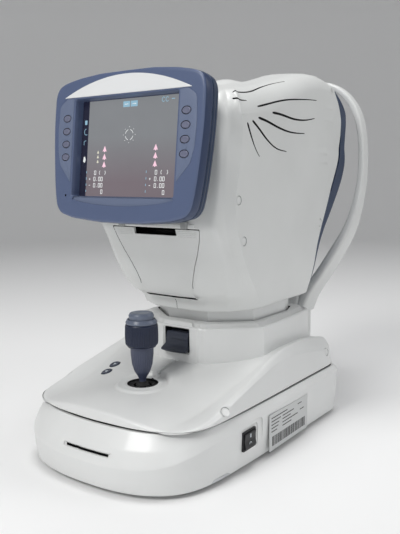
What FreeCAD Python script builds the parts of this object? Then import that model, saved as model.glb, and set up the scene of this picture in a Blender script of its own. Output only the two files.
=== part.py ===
import FreeCAD, Part
import math
import os
from FreeCAD import Vector

# Desktop auto refractometer, millimetres: plinth, sliding stage with joystick, measuring head
# with tilting display, and chinrest with headrest arch.
# X is the operator's right, +Y runs from the operator to the patient, +Z is up and the origin
# is the middle of the footprint on the table. "Front" is the operator's side (-Y).

# ---- driving dimensions ----
SIDES = (1, -1)                       # operator's right, left
WALL = 3.0
PIN_R = 1.5                           # small pivot pins
PIN_HOLE_R = PIN_R + 0.06
FRONT_BOW = 8.0                       # bow of the front edges seen from above

BASE_HW, BASE_FRONT, BASE_REAR = 130.0, -247.5, 125.0
BASE_TOP, BASE_CORNER = 64.0, 84.0
FOOT_TOP = 6.0
FLOOR = FOOT_TOP + 3.0                # top of the base chassis sheet

SEAM = 66.0                           # underside of the moving stage
DECK_HW, DECK_FRONT, DECK_REAR = 122.4, -224.6, 128.0
PLATE_BOTTOM, PLATE_TOP = 88.5, 91.5  # stage chassis plate

PITCH_Z, MODULE, TEETH = 69.2, 1.0, 16  # rack and pinion
PRESSURE_ANGLE = math.radians(20)
TOOTH_PITCH = math.pi * MODULE
ADDENDUM = 0.85
THINNING = 0.26                       # taken off each tooth's thickness for backlash
PITCH_R = MODULE * TEETH / 2.0
AXLE_Y, AXLE_Z, AXLE_R = 30.0, PITCH_Z + PITCH_R, 3.0
RAIL_R, RAIL_Y = 4.0, (AXLE_Y - 18, AXLE_Y + 18)
RAIL_END = 62.0

JOY_Y, JOY_Z = -141.0, 76.0           # joystick gimbal centre
LIFT_X, LIFT_Y = 50.0, 60.0           # head lift rods and screw
LIFT_ROD_R, LIFT_SCREW_R = 5.0, 4.0
CHIN_Y = 186.0
COLUMN_HW, COLUMN_FRONT, COLUMN_REAR, COLUMN_TOP = 44.0, 160.0, 208.0, 150.0
OPTIC_Z = 384.0

# Axes along X, as (y, z)
DISPLAY_PIVOT = (-118.0, 385.0)
COVER_PIVOT = (-86.0, 181.0)
PLATEN = (-98.0, 250.0)
ROLL = (-70.0, 222.0)
LEVER = (-62.0, 128.0)


# ---- shape helpers ----
def box(x0, x1, y0, y1, z0, z1):
    return Part.makeBox(x1 - x0, y1 - y0, z1 - z0, Vector(x0, y0, z0))


def side_span(side, inner, outer):
    """X range between two distances from the centre plane, on one side."""
    return sorted((side * inner, side * outer))


def side_box(side, inner, outer, *yz):
    return box(*side_span(side, inner, outer), *yz)


def rod(radius, start, end):
    direction = Vector(*end) - Vector(*start)
    return Part.makeCylinder(radius, direction.Length, Vector(*start), direction)


def x_rod(radius, x0, x1, y, z):
    return rod(radius, (x0, y, z), (x1, y, z))


def y_rod(radius, x, y0, y1, z):
    return rod(radius, (x, y0, z), (x, y1, z))


def z_rod(radius, x, y, z0, z1):
    return rod(radius, (x, y, z0), (x, y, z1))


def tube(make_rod, outer, inner, *place):
    return make_rod(outer, *place).cut(make_rod(inner, *place))


def wire(points):
    points = [Vector(*p) for p in points]
    return Part.makePolygon(points + [points[0]])


def prism(axis, outline, start, end):
    """Outline in the plane square to the axis, extruded from start to end."""
    length = end - start
    if axis == "x":
        points, step = [(start, a, b) for a, b in outline], Vector(length, 0, 0)
    elif axis == "y":
        points, step = [(a, start, b) for a, b in outline], Vector(0, length, 0)
    else:
        points, step = [(a, b, start) for a, b in outline], Vector(0, 0, length)
    return Part.Face(wire(points)).extrude(step)


def loft(wires):
    return Part.makeLoft(wires, True, True)


def mirror(half):
    """Points on the right half, x >= 0, made into a closed symmetric outline."""
    return half + [(-x, y) for x, y in reversed(half) if x > 1e-6]


def inset(outline, depth):
    """Closed outline moved inwards by depth."""
    count = len(outline)
    area = 0
    for i, (x, y) in enumerate(outline):
        next_x, next_y = outline[(i + 1) % count]
        area += x * next_y - next_x * y
    turn = 1.0 if area > 0 else -1.0
    moved = []
    for i, (x, y) in enumerate(outline):
        before, after = outline[i - 1], outline[(i + 1) % count]
        normals = []
        for dx, dy in ((x - before[0], y - before[1]), (after[0] - x, after[1] - y)):
            length = math.hypot(dx, dy)
            normals.append((-dy / length * turn, dx / length * turn))
        (ax, ay), (bx, by) = normals
        scale = 1.0 + ax * bx + ay * by
        moved.append((x + depth * (ax + bx) / scale, y + depth * (ay + by) / scale))
    return moved


def rounded_plan(half_width, front, rear, front_r, rear_r, z):
    """Footprint with a bowed front edge and separate front and rear corner radii."""
    diagonal = math.sqrt(0.5)
    front_x, corner_y = half_width - front_r, front + FRONT_BOW
    front_cy = corner_y + front_r
    rear_x, rear_cy = half_width - rear_r, rear - rear_r

    def at(x, y):
        return Vector(x, y, z)

    def front_mid(side):
        return at(side * (front_x + front_r * diagonal), front_cy - front_r * diagonal)

    def rear_mid(side):
        return at(side * (rear_x + rear_r * diagonal), rear_cy + rear_r * diagonal)

    edges = [
        Part.Arc(at(-front_x, corner_y), at(0, front), at(front_x, corner_y)),
        Part.Arc(at(front_x, corner_y), front_mid(1), at(half_width, front_cy)),
        Part.LineSegment(at(half_width, front_cy), at(half_width, rear_cy)),
        Part.Arc(at(half_width, rear_cy), rear_mid(1), at(rear_x, rear)),
        Part.LineSegment(at(rear_x, rear), at(-rear_x, rear)),
        Part.Arc(at(-rear_x, rear), rear_mid(-1), at(-half_width, rear_cy)),
        Part.LineSegment(at(-half_width, rear_cy), at(-half_width, front_cy)),
        Part.Arc(at(-half_width, front_cy), front_mid(-1), at(-front_x, corner_y))]
    return Part.Wire([edge.toShape() for edge in edges])


# ================= base =================
# Insets from the base's side, front, rear and front corner radius; rear radius; z
BASE_OUTER = [(4, 4, 4, 4, 20, 4), (0, 0, 0, 0, 24, 40), (6.5, 21.5, 3, 8, 22, BASE_TOP)]
BASE_INNER = [(7.1, 7.1, 7.1, 7, 17, 3), (3, 3, 3, 3, 21, 40),
              (9.5, 24, 6, 11, 19, BASE_TOP - WALL)]
CARD_SLOT_Z = (38.2, 40.8)
ROCKER_X, ROCKER_Y, ROCKER_Z = 124.0, -111.5, 35.5
FEET = [(98, -180, 10), (98, 88, 10), (34, 196, 7)]  # x, y, radius
RACK_FRONT, RACK_REAR, RACK_ROOT = -22, 84, 1.2      # ends in y, root below the pitch line


def base_loft(rows):
    return loft([rounded_plan(BASE_HW - side, BASE_FRONT + front, BASE_REAR - rear,
                              BASE_CORNER - corner, rear_r, z)
                 for side, front, rear, corner, rear_r, z in rows])


def base_cover():
    cover = base_loft(BASE_OUTER).cut(base_loft(BASE_INNER))
    cover = cover.cut(box(-45, 45, 112, 130, 0, 12))  # passage to the chinrest
    cover = cover.cut(box(-28.5, 28.5, -260, -232, *CARD_SLOT_Z))
    return cover.cut(box(117, 135, ROCKER_Y - 12.5, ROCKER_Y + 12.5,
                         ROCKER_Z - 10.5, ROCKER_Z + 10.5))


def base_chassis():
    sheet = Part.Face(rounded_plan(121, -236, 116, 78, 16, FOOT_TOP))
    sheet = sheet.extrude(Vector(0, 0, FLOOR - FOOT_TOP))
    return sheet.fuse(box(-44, 44, 100, 210, FOOT_TOP, FLOOR)).removeSplitter()


def rubber_feet():
    return Part.makeCompound([z_rod(radius, side * x, y, 0, FOOT_TOP)
                              for x, y, radius in FEET for side in SIDES])


def power_supply():
    return box(-100, -28, -70, 60, FLOOR, 46).cut(box(-97, -31, -67, 57, FLOOR + WALL, 43))


def card_reader():
    reader = box(-34, 34, -231, -170, 30, 46).cut(box(-28.6, 28.6, -235, -185, *CARD_SLOT_Z))
    for side in (-1, 1):
        reader = reader.fuse(side_box(side, 27, 34, -200, -190, FLOOR, 30))
    return reader


def power_rocker():
    rocker = box(119.5, 128, ROCKER_Y - 11.5, ROCKER_Y + 11.5, ROCKER_Z - 9.5, ROCKER_Z + 9.5)
    slopes = [(126.6, ROCKER_Z + 10), (128.5, ROCKER_Z + 10), (128.5, ROCKER_Z - 10),
              (126.6, ROCKER_Z - 10), (128, ROCKER_Z)]
    rocker = rocker.cut(prism("y", slopes, ROCKER_Y - 12.5, ROCKER_Y + 12.5))
    pin = y_rod(PIN_R, ROCKER_X, ROCKER_Y - 12.1, ROCKER_Y + 12.1, ROCKER_Z)
    return rocker.fuse(pin).removeSplitter()


def gear_racks():
    root_z, tip_z = PITCH_Z - RACK_ROOT, PITCH_Z + ADDENDUM
    slope = math.tan(PRESSURE_ANGLE)
    half_tooth = (TOOTH_PITCH / 2 - THINNING) / 2
    half_root, half_tip = half_tooth + RACK_ROOT * slope, half_tooth - ADDENDUM * slope
    last = int(math.floor((RACK_REAR - 2 - AXLE_Y) / TOOTH_PITCH - 0.5))
    first = int(math.ceil((RACK_FRONT + 2 - AXLE_Y) / TOOTH_PITCH - 0.5))
    outline = [(RACK_FRONT, BASE_TOP), (RACK_REAR, BASE_TOP), (RACK_REAR, root_z)]
    for i in range(last, first - 1, -1):
        y = AXLE_Y + (i + 0.5) * TOOTH_PITCH
        outline += [(y + half_root, root_z), (y + half_tip, tip_z),
                    (y - half_tip, tip_z), (y - half_root, root_z)]
    outline += [(RACK_FRONT, root_z)]
    return Part.makeCompound([prism("x", outline, *side_span(side, 66, 72)) for side in SIDES])


def friction_pad():
    return box(-54, 54, -175, -112, BASE_TOP, BASE_TOP + 1)


# ================= chinrest and headrest =================
STEM_R = 9.0
CHIN_SCREW_R = 4.0
ARM_PATH = [  # right foot to top middle: x, y, z of the section centre, depth, thickness
    (47, 182, 128, 42, 16), (53, 184, 150, 42, 15), (66, 190, 176, 42, 13),
    (80, 202, 207, 36, 12), (92, 218, 240, 28, 11), (102, 229, 280, 22, 10),
    (107, 237, 330, 21, 10), (106.5, 237, 372, 21, 10), (101, 234, 408, 20, 10),
    (88, 232, 434, 20, 10), (66, 231, 448.5, 20, 10), (36, 231, 452, 20, 10),
    (0, 231, 452, 20, 10)]


def chinrest_column():
    column = box(-COLUMN_HW, COLUMN_HW, COLUMN_FRONT, COLUMN_REAR, FLOOR, COLUMN_TOP)
    column = column.fuse(box(-COLUMN_HW, COLUMN_HW, 126.5, COLUMN_FRONT, FLOOR, 56))
    column = column.cut(box(-20, 20, 166, 205, FLOOR, 66))
    column = column.cut(z_rod(STEM_R + 0.1, 0, CHIN_Y, 60, COLUMN_TOP + 1))
    column = column.removeSplitter()
    # The corner fillet may fail; the column then keeps sharp corners.
    try:
        corners = [e for e in column.Edges
                   if abs(e.Vertexes[0].Z - e.Vertexes[-1].Z) > 80
                   and abs(e.Vertexes[0].X) > 43]
        column = column.makeFillet(9, corners)
    except Exception:
        pass
    return column


def chin_lift_motor():
    return box(-18, 18, 168, 203, FLOOR, 64).fuse(z_rod(7, 0, CHIN_Y, 64, 66))


def chin_lift_screw():
    return z_rod(CHIN_SCREW_R, 0, CHIN_Y, 68, 166).fuse(z_rod(6, 0, CHIN_Y, 66.3, 72))


def chin_scoop(radius):
    return y_rod(radius, 0, 190, 250, 324)


def chinrest():
    stem = tube(z_rod, STEM_R, CHIN_SCREW_R + 0.06, 0, CHIN_Y, 125, 236)
    stem = stem.fuse(z_rod(STEM_R, 0, CHIN_Y, 236, 252))
    cup = box(-38, 38, 197, 246, 258, 270).cut(chin_scoop(60))
    # The corner fillet may fail on the scooped cup; the cup then keeps sharp corners.
    try:
        cup = cup.makeFillet(8, [e for e in cup.Edges
                                 if abs(e.Vertexes[0].Z - e.Vertexes[-1].Z) > 5])
    except Exception:
        pass
    bracket = box(-9, 9, CHIN_Y - 8, 212, 250, 258)
    return stem.fuse(bracket).fuse(cup).removeSplitter()


def chin_papers():
    return box(-30, 30, 204, 240, 255, 275).common(chin_scoop(60)).cut(chin_scoop(58.4))


def arm_sections():
    """Chamfered rectangles square to the arm path, from the right foot to the left foot."""
    path = ARM_PATH + [(-row[0],) + row[1:] for row in reversed(ARM_PATH[:-1])]
    last = len(path) - 1
    sections = []
    for i, (x, y, z, depth, thickness) in enumerate(path):
        centre = Vector(x, y, z)
        tangent = Vector(*path[min(i + 1, last)][:3]) - Vector(*path[max(i - 1, 0)][:3])
        tangent.normalize()
        if i in (0, last):
            tangent = Vector(0, 0, 1 if i == 0 else -1)
        depth_dir = Vector(0, 1, 0) - tangent * tangent.y
        depth_dir.normalize()
        thick_dir = tangent.cross(depth_dir)
        d, t = depth / 2, thickness / 2
        chamfer = min(3.0, t * 0.6)
        corners = [(-d + chamfer, -t), (d - chamfer, -t), (d, -t + chamfer), (d, t - chamfer),
                   (d - chamfer, t), (-d + chamfer, t), (-d, t - chamfer), (-d, -t + chamfer)]
        sections.append(wire([tuple(centre + depth_dir * u + thick_dir * w)
                              for u, w in corners]))
    return sections


def headrest_frame(column):
    arch = loft(arm_sections())
    arch = arch.cut(box(-COLUMN_HW, COLUMN_HW, COLUMN_FRONT, COLUMN_REAR, 100, COLUMN_TOP))
    arch = arch.cut(box(-200, 200, 100, 300, 100, 128.01))
    arch = arch.fuse(box(-36, 36, 226, 231, 424, 449)).removeSplitter()
    return arch.cut(column)


def forehead_pad():
    return box(-40, 40, 231.2, 243.5, 422, 446.5)


# ================= carriage =================
def cross_carriage():
    right, left = [side_box(side, 57, 64, 2, 58, SEAM, 88) for side in SIDES]
    carriage = right.fuse(left).fuse(box(-57, 57, 24, 36, SEAM, 72)).removeSplitter()
    carriage = carriage.cut(x_rod(AXLE_R + 0.05, -80, 80, AXLE_Y, AXLE_Z))
    for y in RAIL_Y:
        carriage = carriage.cut(x_rod(RAIL_R + 0.02, -RAIL_END - 0.1, RAIL_END + 0.1, y, AXLE_Z))
    return carriage


def cross_rails():
    return Part.makeCompound([x_rod(RAIL_R, -RAIL_END, RAIL_END, y, AXLE_Z) for y in RAIL_Y])


def involute(angle):
    return math.tan(angle) - angle


def pinion_outline():
    """Involute gear outline (y, z) with one tooth pointing straight down."""
    base_r = PITCH_R * math.cos(PRESSURE_ANGLE)
    tip_r, root_r = PITCH_R + ADDENDUM, PITCH_R - 1.25
    half_tooth = (TOOTH_PITCH / 2 - THINNING) / (2 * PITCH_R)
    flank = []  # radius, half angle of the tooth there
    for i in range(6):
        r = base_r + (tip_r - base_r) * i / 5.0
        flank.append((r, half_tooth + involute(PRESSURE_ANGLE) - involute(math.acos(base_r / r))))
    root_angle = flank[0][1] + 0.02
    tooth = [(root_r, -root_angle)] + [(r, -a) for r, a in flank]
    tooth += [(r, a) for r, a in reversed(flank)] + [(root_r, root_angle)]
    outline = []
    for i in range(TEETH):
        middle = -math.pi / 2 + 2 * math.pi * i / TEETH
        outline += [(AXLE_Y + r * math.cos(middle + a), AXLE_Z + r * math.sin(middle + a))
                    for r, a in tooth]
    return outline


def pinion_axle():
    axle = x_rod(AXLE_R, -74, 74, AXLE_Y, AXLE_Z)
    for side in SIDES:
        axle = axle.fuse(prism("x", pinion_outline(), *side_span(side, 66.2, 71.8)))
    return axle


# ================= stage =================
PEDESTAL_PLAN = mirror([(40.8, -73), (94.7, -26), (92, 60), (88, 100), (76, 114)])
DECK_ROWS = [  # y, centre z, crease x, z, outer crest x, z, side z
    (-240, 75, 85, 66.8, 114, 66.6, 66.4), (-200, 79.2, 88, 68, 115, 69, 67),
    (-160, 82.8, 90, 70, 115, 77, 71), (-140, 84.6, 92, 74, 115, 82.5, 73),
    (-120, 88.5, 95, 79, 115, 87, 75), (-100, 92.3, 97, 85, 115, 91, 78),
    (-80, 96, 100, 91, 114, 95.5, 80), (-60, 98, 102, 97, 113, 101, 82),
    (-40, 98, 102, 102, 112, 106.5, 84), (-20, 98, 102, 106, 110, 109.5, 86),
    (14, 98, 100, 108, 108, 111, 88), (60, 98, 99, 107, 106, 109, 88),
    (90, 98, 98, 104, 105, 105.5, 86), (112, 97, 97, 100, 106, 101.5, 84),
    (140, 88, 95, 89, 108, 90, 74)]
DECK_MID_X = 58.0                     # point between the centre and the crease
CHIN_BUTTONS = {"chin_up_button": (-72, -125, 80.8), "chin_down_button": (-75, -106.7, 86.2)}
BUTTON_R = 6.5
STAGE_POSTS = (17, 22)                # arms that carry the gimbal, x range
GRIP_R = 18.0


def deck_solid(depth):
    """Deck body shrunk by depth; the shrunk one runs below the seam to open the underside."""
    bottom = SEAM - (8 if depth else 0)
    side_x = DECK_HW - depth + 3
    sections = []
    for y, centre_z, crease_x, crease_z, crest_x, crest_z, side_z in DECK_ROWS:
        mid_z = centre_z - (centre_z - crease_z) * (DECK_MID_X / crease_x) ** 2
        # The lower limits keep the shrunk section's points above its bottom edge.
        half = [(side_x, bottom), (side_x, max(side_z - depth, 61)),
                (crest_x - depth * 0.6, max(crest_z - depth, 61.2)),
                (crease_x - depth * 0.3, max(crease_z - depth, 61.4)),
                (DECK_MID_X, mid_z - depth), (0, centre_z - depth)]
        sections.append(wire([(x, y, z) for x, z in mirror(half)]))
    plan = rounded_plan(DECK_HW - depth, DECK_FRONT + depth, DECK_REAR - depth,
                        78 - depth, 26 - depth, 50)
    return loft(sections).common(Part.Face(plan).extrude(Vector(0, 0, 80)))


def stage_cover(deck_outer):
    deck = deck_outer.cut(deck_solid(WALL))
    deck = deck.cut(prism("z", inset(PEDESTAL_PLAN, 3.2), 60, 130))
    deck = deck.cut(z_rod(18, 0, JOY_Y, 60, 100))
    for x, y, z in CHIN_BUTTONS.values():
        deck = deck.cut(z_rod(BUTTON_R + 0.1, x, y, z - 12, z + 8))
    return deck


def pedestal_cover(deck_outer):
    pedestal = prism("z", PEDESTAL_PLAN, 84, 140)
    pedestal = pedestal.cut(prism("z", inset(PEDESTAL_PLAN, WALL), 80, 150))
    pedestal = pedestal.cut(deck_outer)
    pedestal = pedestal.cut(box(-18.5, 18.5, -80, -60, 107, 138))  # lever opening
    for side in SIDES:
        ear = side_box(side, 19.5, 23.5, -71, -56, 120, 134)
        pedestal = pedestal.fuse(ear.cut(x_rod(PIN_HOLE_R, -30, 30, *LEVER)))
    return pedestal.removeSplitter()


def lock_lever():
    half_width, hub_r = 17.5, 4
    y, z = LEVER
    paddle = [(-68, 124), (-70.5, 134.5), (-73.5, 134), (-75, 122), (-76.5, 114),
              (-80, 110.5), (-77.5, 109.5), (-73, 113), (-71.5, 122)]
    web = [(-71.5, 124), (-71, 131.5), (y, z + hub_r), (y, z - hub_r)]
    lever = prism("x", paddle, -half_width, half_width)
    lever = lever.fuse(prism("x", web, -half_width, half_width))
    lever = lever.fuse(x_rod(hub_r, -half_width, half_width, y, z))
    return lever.fuse(x_rod(PIN_R, -23, 23, y, z)).removeSplitter()


def stage_chassis():
    plate = box(-60, 60, -74, 106, PLATE_BOTTOM, PLATE_TOP)
    for y in RAIL_Y:
        plate = plate.fuse(box(-12, 12, y - 7, y + 7, 69.5, PLATE_BOTTOM))
    for side in SIDES:
        plate = plate.fuse(side_box(side, *STAGE_POSTS, -149, -70, 72, 78.4))
        plate = plate.fuse(side_box(side, *STAGE_POSTS, -74, -70, 72, 90))
        front_block = side_box(side, 48, 60, -66, -54, PLATE_TOP, 93.4)
        rear_block = side_box(side, 48, 60, 94, 106, PLATE_TOP, 94.4)
        plate = plate.fuse(front_block).fuse(rear_block)
    plate = plate.removeSplitter()
    for y in RAIL_Y:
        plate = plate.cut(x_rod(RAIL_R + 0.05, -13, 13, y, AXLE_Z))
    return plate.cut(x_rod(PIN_HOLE_R, -30, 30, JOY_Y, JOY_Z))


def lift_guide_rods():
    return Part.makeCompound([z_rod(LIFT_ROD_R, side * LIFT_X, LIFT_Y, PLATE_TOP, 200)
                              for side in SIDES])


def lift_motor():
    return box(-21, 21, LIFT_Y - 21, LIFT_Y + 21, PLATE_TOP, 122)


def lift_screw():
    return z_rod(LIFT_SCREW_R, 0, LIFT_Y, 122.3, 196).fuse(z_rod(8, 0, LIFT_Y, 122.3, 132))


def joystick_boot():
    return tube(z_rod, 17.8, 9.5, 0, JOY_Y, 80.8, 82.0)


def joystick_gimbal():
    ring = tube(z_rod, 13.2, 10.6, 0, JOY_Y, JOY_Z - 2.2, JOY_Z + 2.2)
    for side in SIDES:
        ring = ring.fuse(x_rod(PIN_R, side * 12, side * 21, JOY_Y, JOY_Z))
    return ring.cut(y_rod(PIN_HOLE_R, 0, JOY_Y - 16, JOY_Y + 16, JOY_Z))


def joystick_stick():
    def post(radius, z0, z1):
        return z_rod(radius, 0, JOY_Y, z0, z1)

    def ball(radius, z):
        return Part.makeSphere(radius, Vector(0, JOY_Y, z))

    def cone(bottom_r, top_r, height, z):
        return Part.makeCone(bottom_r, top_r, height, Vector(0, JOY_Y, z), Vector(0, 0, 1))

    stick = ball(6, JOY_Z).fuse(post(2.6, 69, JOY_Z)).fuse(ball(3.9, 69))
    stick = stick.fuse(y_rod(PIN_R, 0, JOY_Y - 12.8, JOY_Y + 12.8, JOY_Z))
    stick = stick.fuse(post(4.2, JOY_Z, 98))
    stick = stick.fuse(cone(4.3, 13.2, 33, 97)).fuse(cone(13.2, 16.6, 2.8, 130))
    stick = stick.fuse(post(10, 132, 156)).fuse(cone(17.8, 15.6, 4.7, 155.3))
    stick = stick.cut(post(15.0, 158.6, 170)).cut(post(4.08, 145, 170))  # button seat
    return stick.removeSplitter()


def joystick_ring():
    grooves = []
    for i in range(24):
        angle = 2 * math.pi * i / 24
        x, y = (GRIP_R + 0.1) * math.cos(angle), (GRIP_R + 0.1) * math.sin(angle)
        grooves.append(z_rod(0.8, x, JOY_Y + y, 132, 156))
    ring = tube(z_rod, GRIP_R, 10.08, 0, JOY_Y, 133, 155.1)
    return ring.cut(Part.makeCompound(grooves))


def start_button():
    cap = z_rod(14.6, 0, JOY_Y, 160.1, 168)
    return cap.fuse(z_rod(4, 0, JOY_Y, 148, 161)).removeSplitter()


# ================= head =================
HEAD_ROWS = [  # z, front y, front half width, cheek (x, y), flute (x, y),
    # side panel's front corner (x, y), rear edge y, rear bulge
    (160, -73, 36, (64, -55), (74, -38), (84, -22), 93, 4),
    (174, -75, 40, (66, -60), (78, -46), (88, -32), 97, 6),
    (178, -87, 42, (70, -66), (80, -52), (89, -38), 99, 6),
    (205, -97, 48, (84, -76), (88, -68), (95, -60), 108, 9),
    (236, -107, 55, (85, -95), (89, -86), (97, -77), 122, 11),
    (267, -115, 62, (83.5, -112), (89, -102), (97, -93), 139, 13),
    (300, -108, 64, (84, -107), (90, -102), (97, -98), 157, 15),
    (353, -104, 64, (84, -103), (90, -99), (97, -95), 182, 17),
    (391, -100, 64, (84, -99), (90, -95), (96, -91), 181, 17),
    (415, -92, 62, (80, -91), (86, -87), (91, -81), 173, 15),
    (430, -62, 58, (76, -61), (80, -57), (84, -51), 164, 12),
    (444, -8, 50, (62, -6), (68, -2), (72, 4), 148, 8),
    (452, 40, 36, (46, 42), (52, 46), (56, 52), 120, 5)]
NECK_PLAN = mirror([(30, -52), (74, -16), (76, 60), (68, 84)])
BARREL_REAR = 182.0
CAP_PLACES = [(-86, 294), (-70, 248), (118, 256)]  # y, z on each side panel


def head_loft(depth, bottom, top):
    """Head body inset by depth, with its lowest and highest sections moved to bottom and top."""
    heights = [bottom] + [row[0] for row in HEAD_ROWS[1:-1]] + [top]
    wires = []
    for z, row in zip(heights, HEAD_ROWS):
        _, front, front_x, cheek, flute, panel, rear, bulge = row
        panel_x = panel[0]
        outline = mirror([(0, front - 0.8), (front_x, front), cheek, flute, panel,
                          (panel_x + 0.01, rear), (panel_x - 7, rear + bulge * 0.55),
                          (panel_x * 0.55, rear + bulge * 0.9), (0, rear + bulge)])
        wires.append(wire([(x, y, z) for x, y in inset(outline, depth)]))
    return loft(wires)


def behind_seam(gap):
    """Everything to the rear of the head shell's rear seam, starting gap behind it."""
    seam = [(91, 150)] + [(row[6] - 2, row[0]) for row in HEAD_ROWS] + [(112, 470)]
    return prism("x", [(y + gap, z) for y, z in seam] + [(280, 470), (280, 150)], -150, 150)


def front_trapezoid(top_x, top_z, bottom_x, bottom_z):
    half = [(top_x, top_z), (bottom_x, bottom_z)]
    return prism("y", mirror(half), -140, -60)


def head_shell(front_wall, side):
    shell = front_wall.cut(front_trapezoid(64.4, 262.6, 44.0, 177.5))
    half = shell.common(side_box(side, 0.1, 120, -140, 260, 150, 470))
    ear = side_box(side, 22, 26, -87.5, -71, 174.5, 184)
    return half.fuse(ear.cut(x_rod(PIN_HOLE_R, -40, 40, *COVER_PIVOT)))


def printer_cover(front_wall):
    cover = front_wall.common(front_trapezoid(63.8, 262, 45.2, 184.4))
    cover = cover.fuse(x_rod(2.4, -21.5, 21.5, *COVER_PIVOT))
    cover = cover.fuse(x_rod(PIN_R, -26, 26, *COVER_PIVOT))
    return cover.fuse(box(-21.5, 21.5, -88.6, -86, 181, 187))


def patient_cover(head_wall):
    return head_wall.common(behind_seam(0.4)).cut(y_rod(30, 0, 170, 230, OPTIC_Z))


def measuring_window():
    return y_rod(26, 0, BARREL_REAR + 0.05, BARREL_REAR + 2.05, OPTIC_Z)


def head_neck():
    return prism("z", NECK_PLAN, 128, 165).cut(prism("z", inset(NECK_PLAN, 2.5), 120, 170))


def optical_bench():
    bench = prism("z", NECK_PLAN, 165, 170)
    for side in SIDES:
        bench = bench.fuse(z_rod(9, side * LIFT_X, LIFT_Y, 150, 165))
        bench = bench.fuse(side_box(side, 57, 61, -28, 70, 170, 352))
    bench = bench.fuse(z_rod(12, 0, LIFT_Y, 150, 165))
    bench = bench.fuse(box(-61, 61, -40, 100, 352, 356)).removeSplitter()
    bench = bench.cut(z_rod(LIFT_SCREW_R + 0.06, 0, LIFT_Y, 140, 180))
    for side in SIDES:
        bench = bench.cut(z_rod(LIFT_ROD_R + 0.06, side * LIFT_X, LIFT_Y, 140, 180))
    return bench


def camera_module():
    return box(-36, 36, -38, 72, 356, 410).cut(y_rod(20, 0, 40, 73, OPTIC_Z))


def objective_barrel():
    barrel = tube(y_rod, 26, 20, 0, 72, BARREL_REAR, OPTIC_Z)
    foot = box(-18, 18, 80, 100, 356, 360).cut(y_rod(24, 0, 72, BARREL_REAR, OPTIC_Z))
    return barrel.fuse(foot)


def objective_lens():
    return y_rod(19.9, 0, 168, 176, OPTIC_Z)


def main_board():
    board = box(-55, -53.4, -25, 48, 205, 340)
    for y, z in ((-20, 210), (43, 335), (-20, 335), (43, 210)):
        board = board.fuse(x_rod(2, -57, -55, y, z))
    return board


def print_mechanism():
    inner, outer = 30.3, 33
    cheek = [(-104, 243), (-104, 256.5), (-84, 260), (-60, 256), (-44, 240),
             (-44, 170), (-49, 170), (-50, 196), (-86, 200), (-96, 236)]
    right, left = [prism("x", cheek, *side_span(side, inner, outer)) for side in SIDES]
    frame = right.fuse(left).fuse(box(-inner, inner, -91.5, -86, 249, 258))
    frame = frame.fuse(box(-inner, inner, -50, -44.5, 196, 199))
    frame = frame.fuse(x_rod(4, -inner, inner, *ROLL))
    return frame.cut(x_rod(2.06, -40, 40, *PLATEN))


def paper_roll():
    return tube(x_rod, 22, 4.1, -29, 29, *ROLL)


def platen_roller():
    return x_rod(5, -29, 29, *PLATEN).fuse(x_rod(2, -34, 34, *PLATEN))


def screw_caps():
    return Part.makeCompound([x_rod(4.2, side * 97.05, side * 97.7, y, z)
                              for side in SIDES for y, z in CAP_PLACES])


def display_bracket(head_outer):
    ear_r = 6
    y, z = DISPLAY_PIVOT
    bracket = box(-36, 36, -112, -96, 364, 404).cut(head_outer)
    for side in SIDES:
        ear = side_span(side, 29, 34)
        bracket = bracket.fuse(box(*ear, -119, -111, z - ear_r, z + ear_r))
        bracket = bracket.fuse(x_rod(ear_r, *ear, y, z))
    return bracket.cut(x_rod(3.05, -40, 40, y, z))


# ================= display =================
# Display coordinates: u to the right, v up the tilted face, w out of it towards the operator.
DISPLAY_CENTRE = Vector(0, -166.7, 353.7)
TILT = math.radians(6.79)
UP_FACE = Vector(0, math.sin(TILT), math.cos(TILT))
OUT_OF_FACE = Vector(0, -math.cos(TILT), math.sin(TILT))
DISPLAY_OUTLINE = mirror([  # u, v from top centre down the right side
    (0, 81), (37, 80.8), (68, 78), (86, 74.5), (98, 71.9), (104, 67), (106.5, 58), (106.5, 22),
    (105.4, 3), (103.8, -17), (102, -36), (99, -56), (96, -68), (88, -75), (71.5, -78.6),
    (32, -82.2), (0, -82.6)])
DISPLAY_INNER = inset(DISPLAY_OUTLINE, WALL)
KEY_U, KEY_V = 84.5, (33.2, 18.7, 4.2, -10.3)
KEY_SIDES = ((-1, "left"), (1, "right"))


def display_wire(outline, w, scale=1.0):
    points = []
    for u, v in outline:
        offset = UP_FACE * (v * scale) + OUT_OF_FACE * w
        points.append(tuple(DISPLAY_CENTRE + Vector(u * scale, 0, 0) + offset))
    return wire(points)


def display_prism(outline, w0, w1):
    return loft([display_wire(outline, w0), display_wire(outline, w1)])


def rectangle(half_width, v0, v1):
    return [(-half_width, v0), (half_width, v0), (half_width, v1), (-half_width, v1)]


def key_outline(side, v, scale):
    angles = [math.pi * i / 12 for i in range(24)]
    return [(side * KEY_U + 5.6 * scale * math.cos(a), v + 3.8 * scale * math.sin(a))
            for a in angles]


def display_bezel():
    bezel = display_prism(DISPLAY_OUTLINE, -14, 0)
    cavity = display_prism(DISPLAY_INNER, -14.5, -3)
    cavity = cavity.cut(display_prism(rectangle(77, -58, 58.4), -15, 0))
    bezel = bezel.cut(cavity).cut(display_prism(rectangle(74, -55, 55.4), -20, 5))
    for side, _ in KEY_SIDES:
        for v in KEY_V:
            bezel = bezel.cut(display_prism(key_outline(side, v, 1.02), -12, 4))
    return bezel


def display_trim():
    """Thin crescent above the screen with a parabolic upper edge."""
    crescent = []
    for i in range(1, 24):
        u = 90 - 7.5 * i
        crescent.append((u, 56 + 21 * (1 - (abs(u) / 90.0) ** 2)))
    return display_prism([(88.5, 56.4)] + crescent + [(-88.5, 56.4)], 0.02, 0.8)


def lcd_panel():
    return display_prism(rectangle(73.8, -54.8, 55.2), -20, -12)


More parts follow.
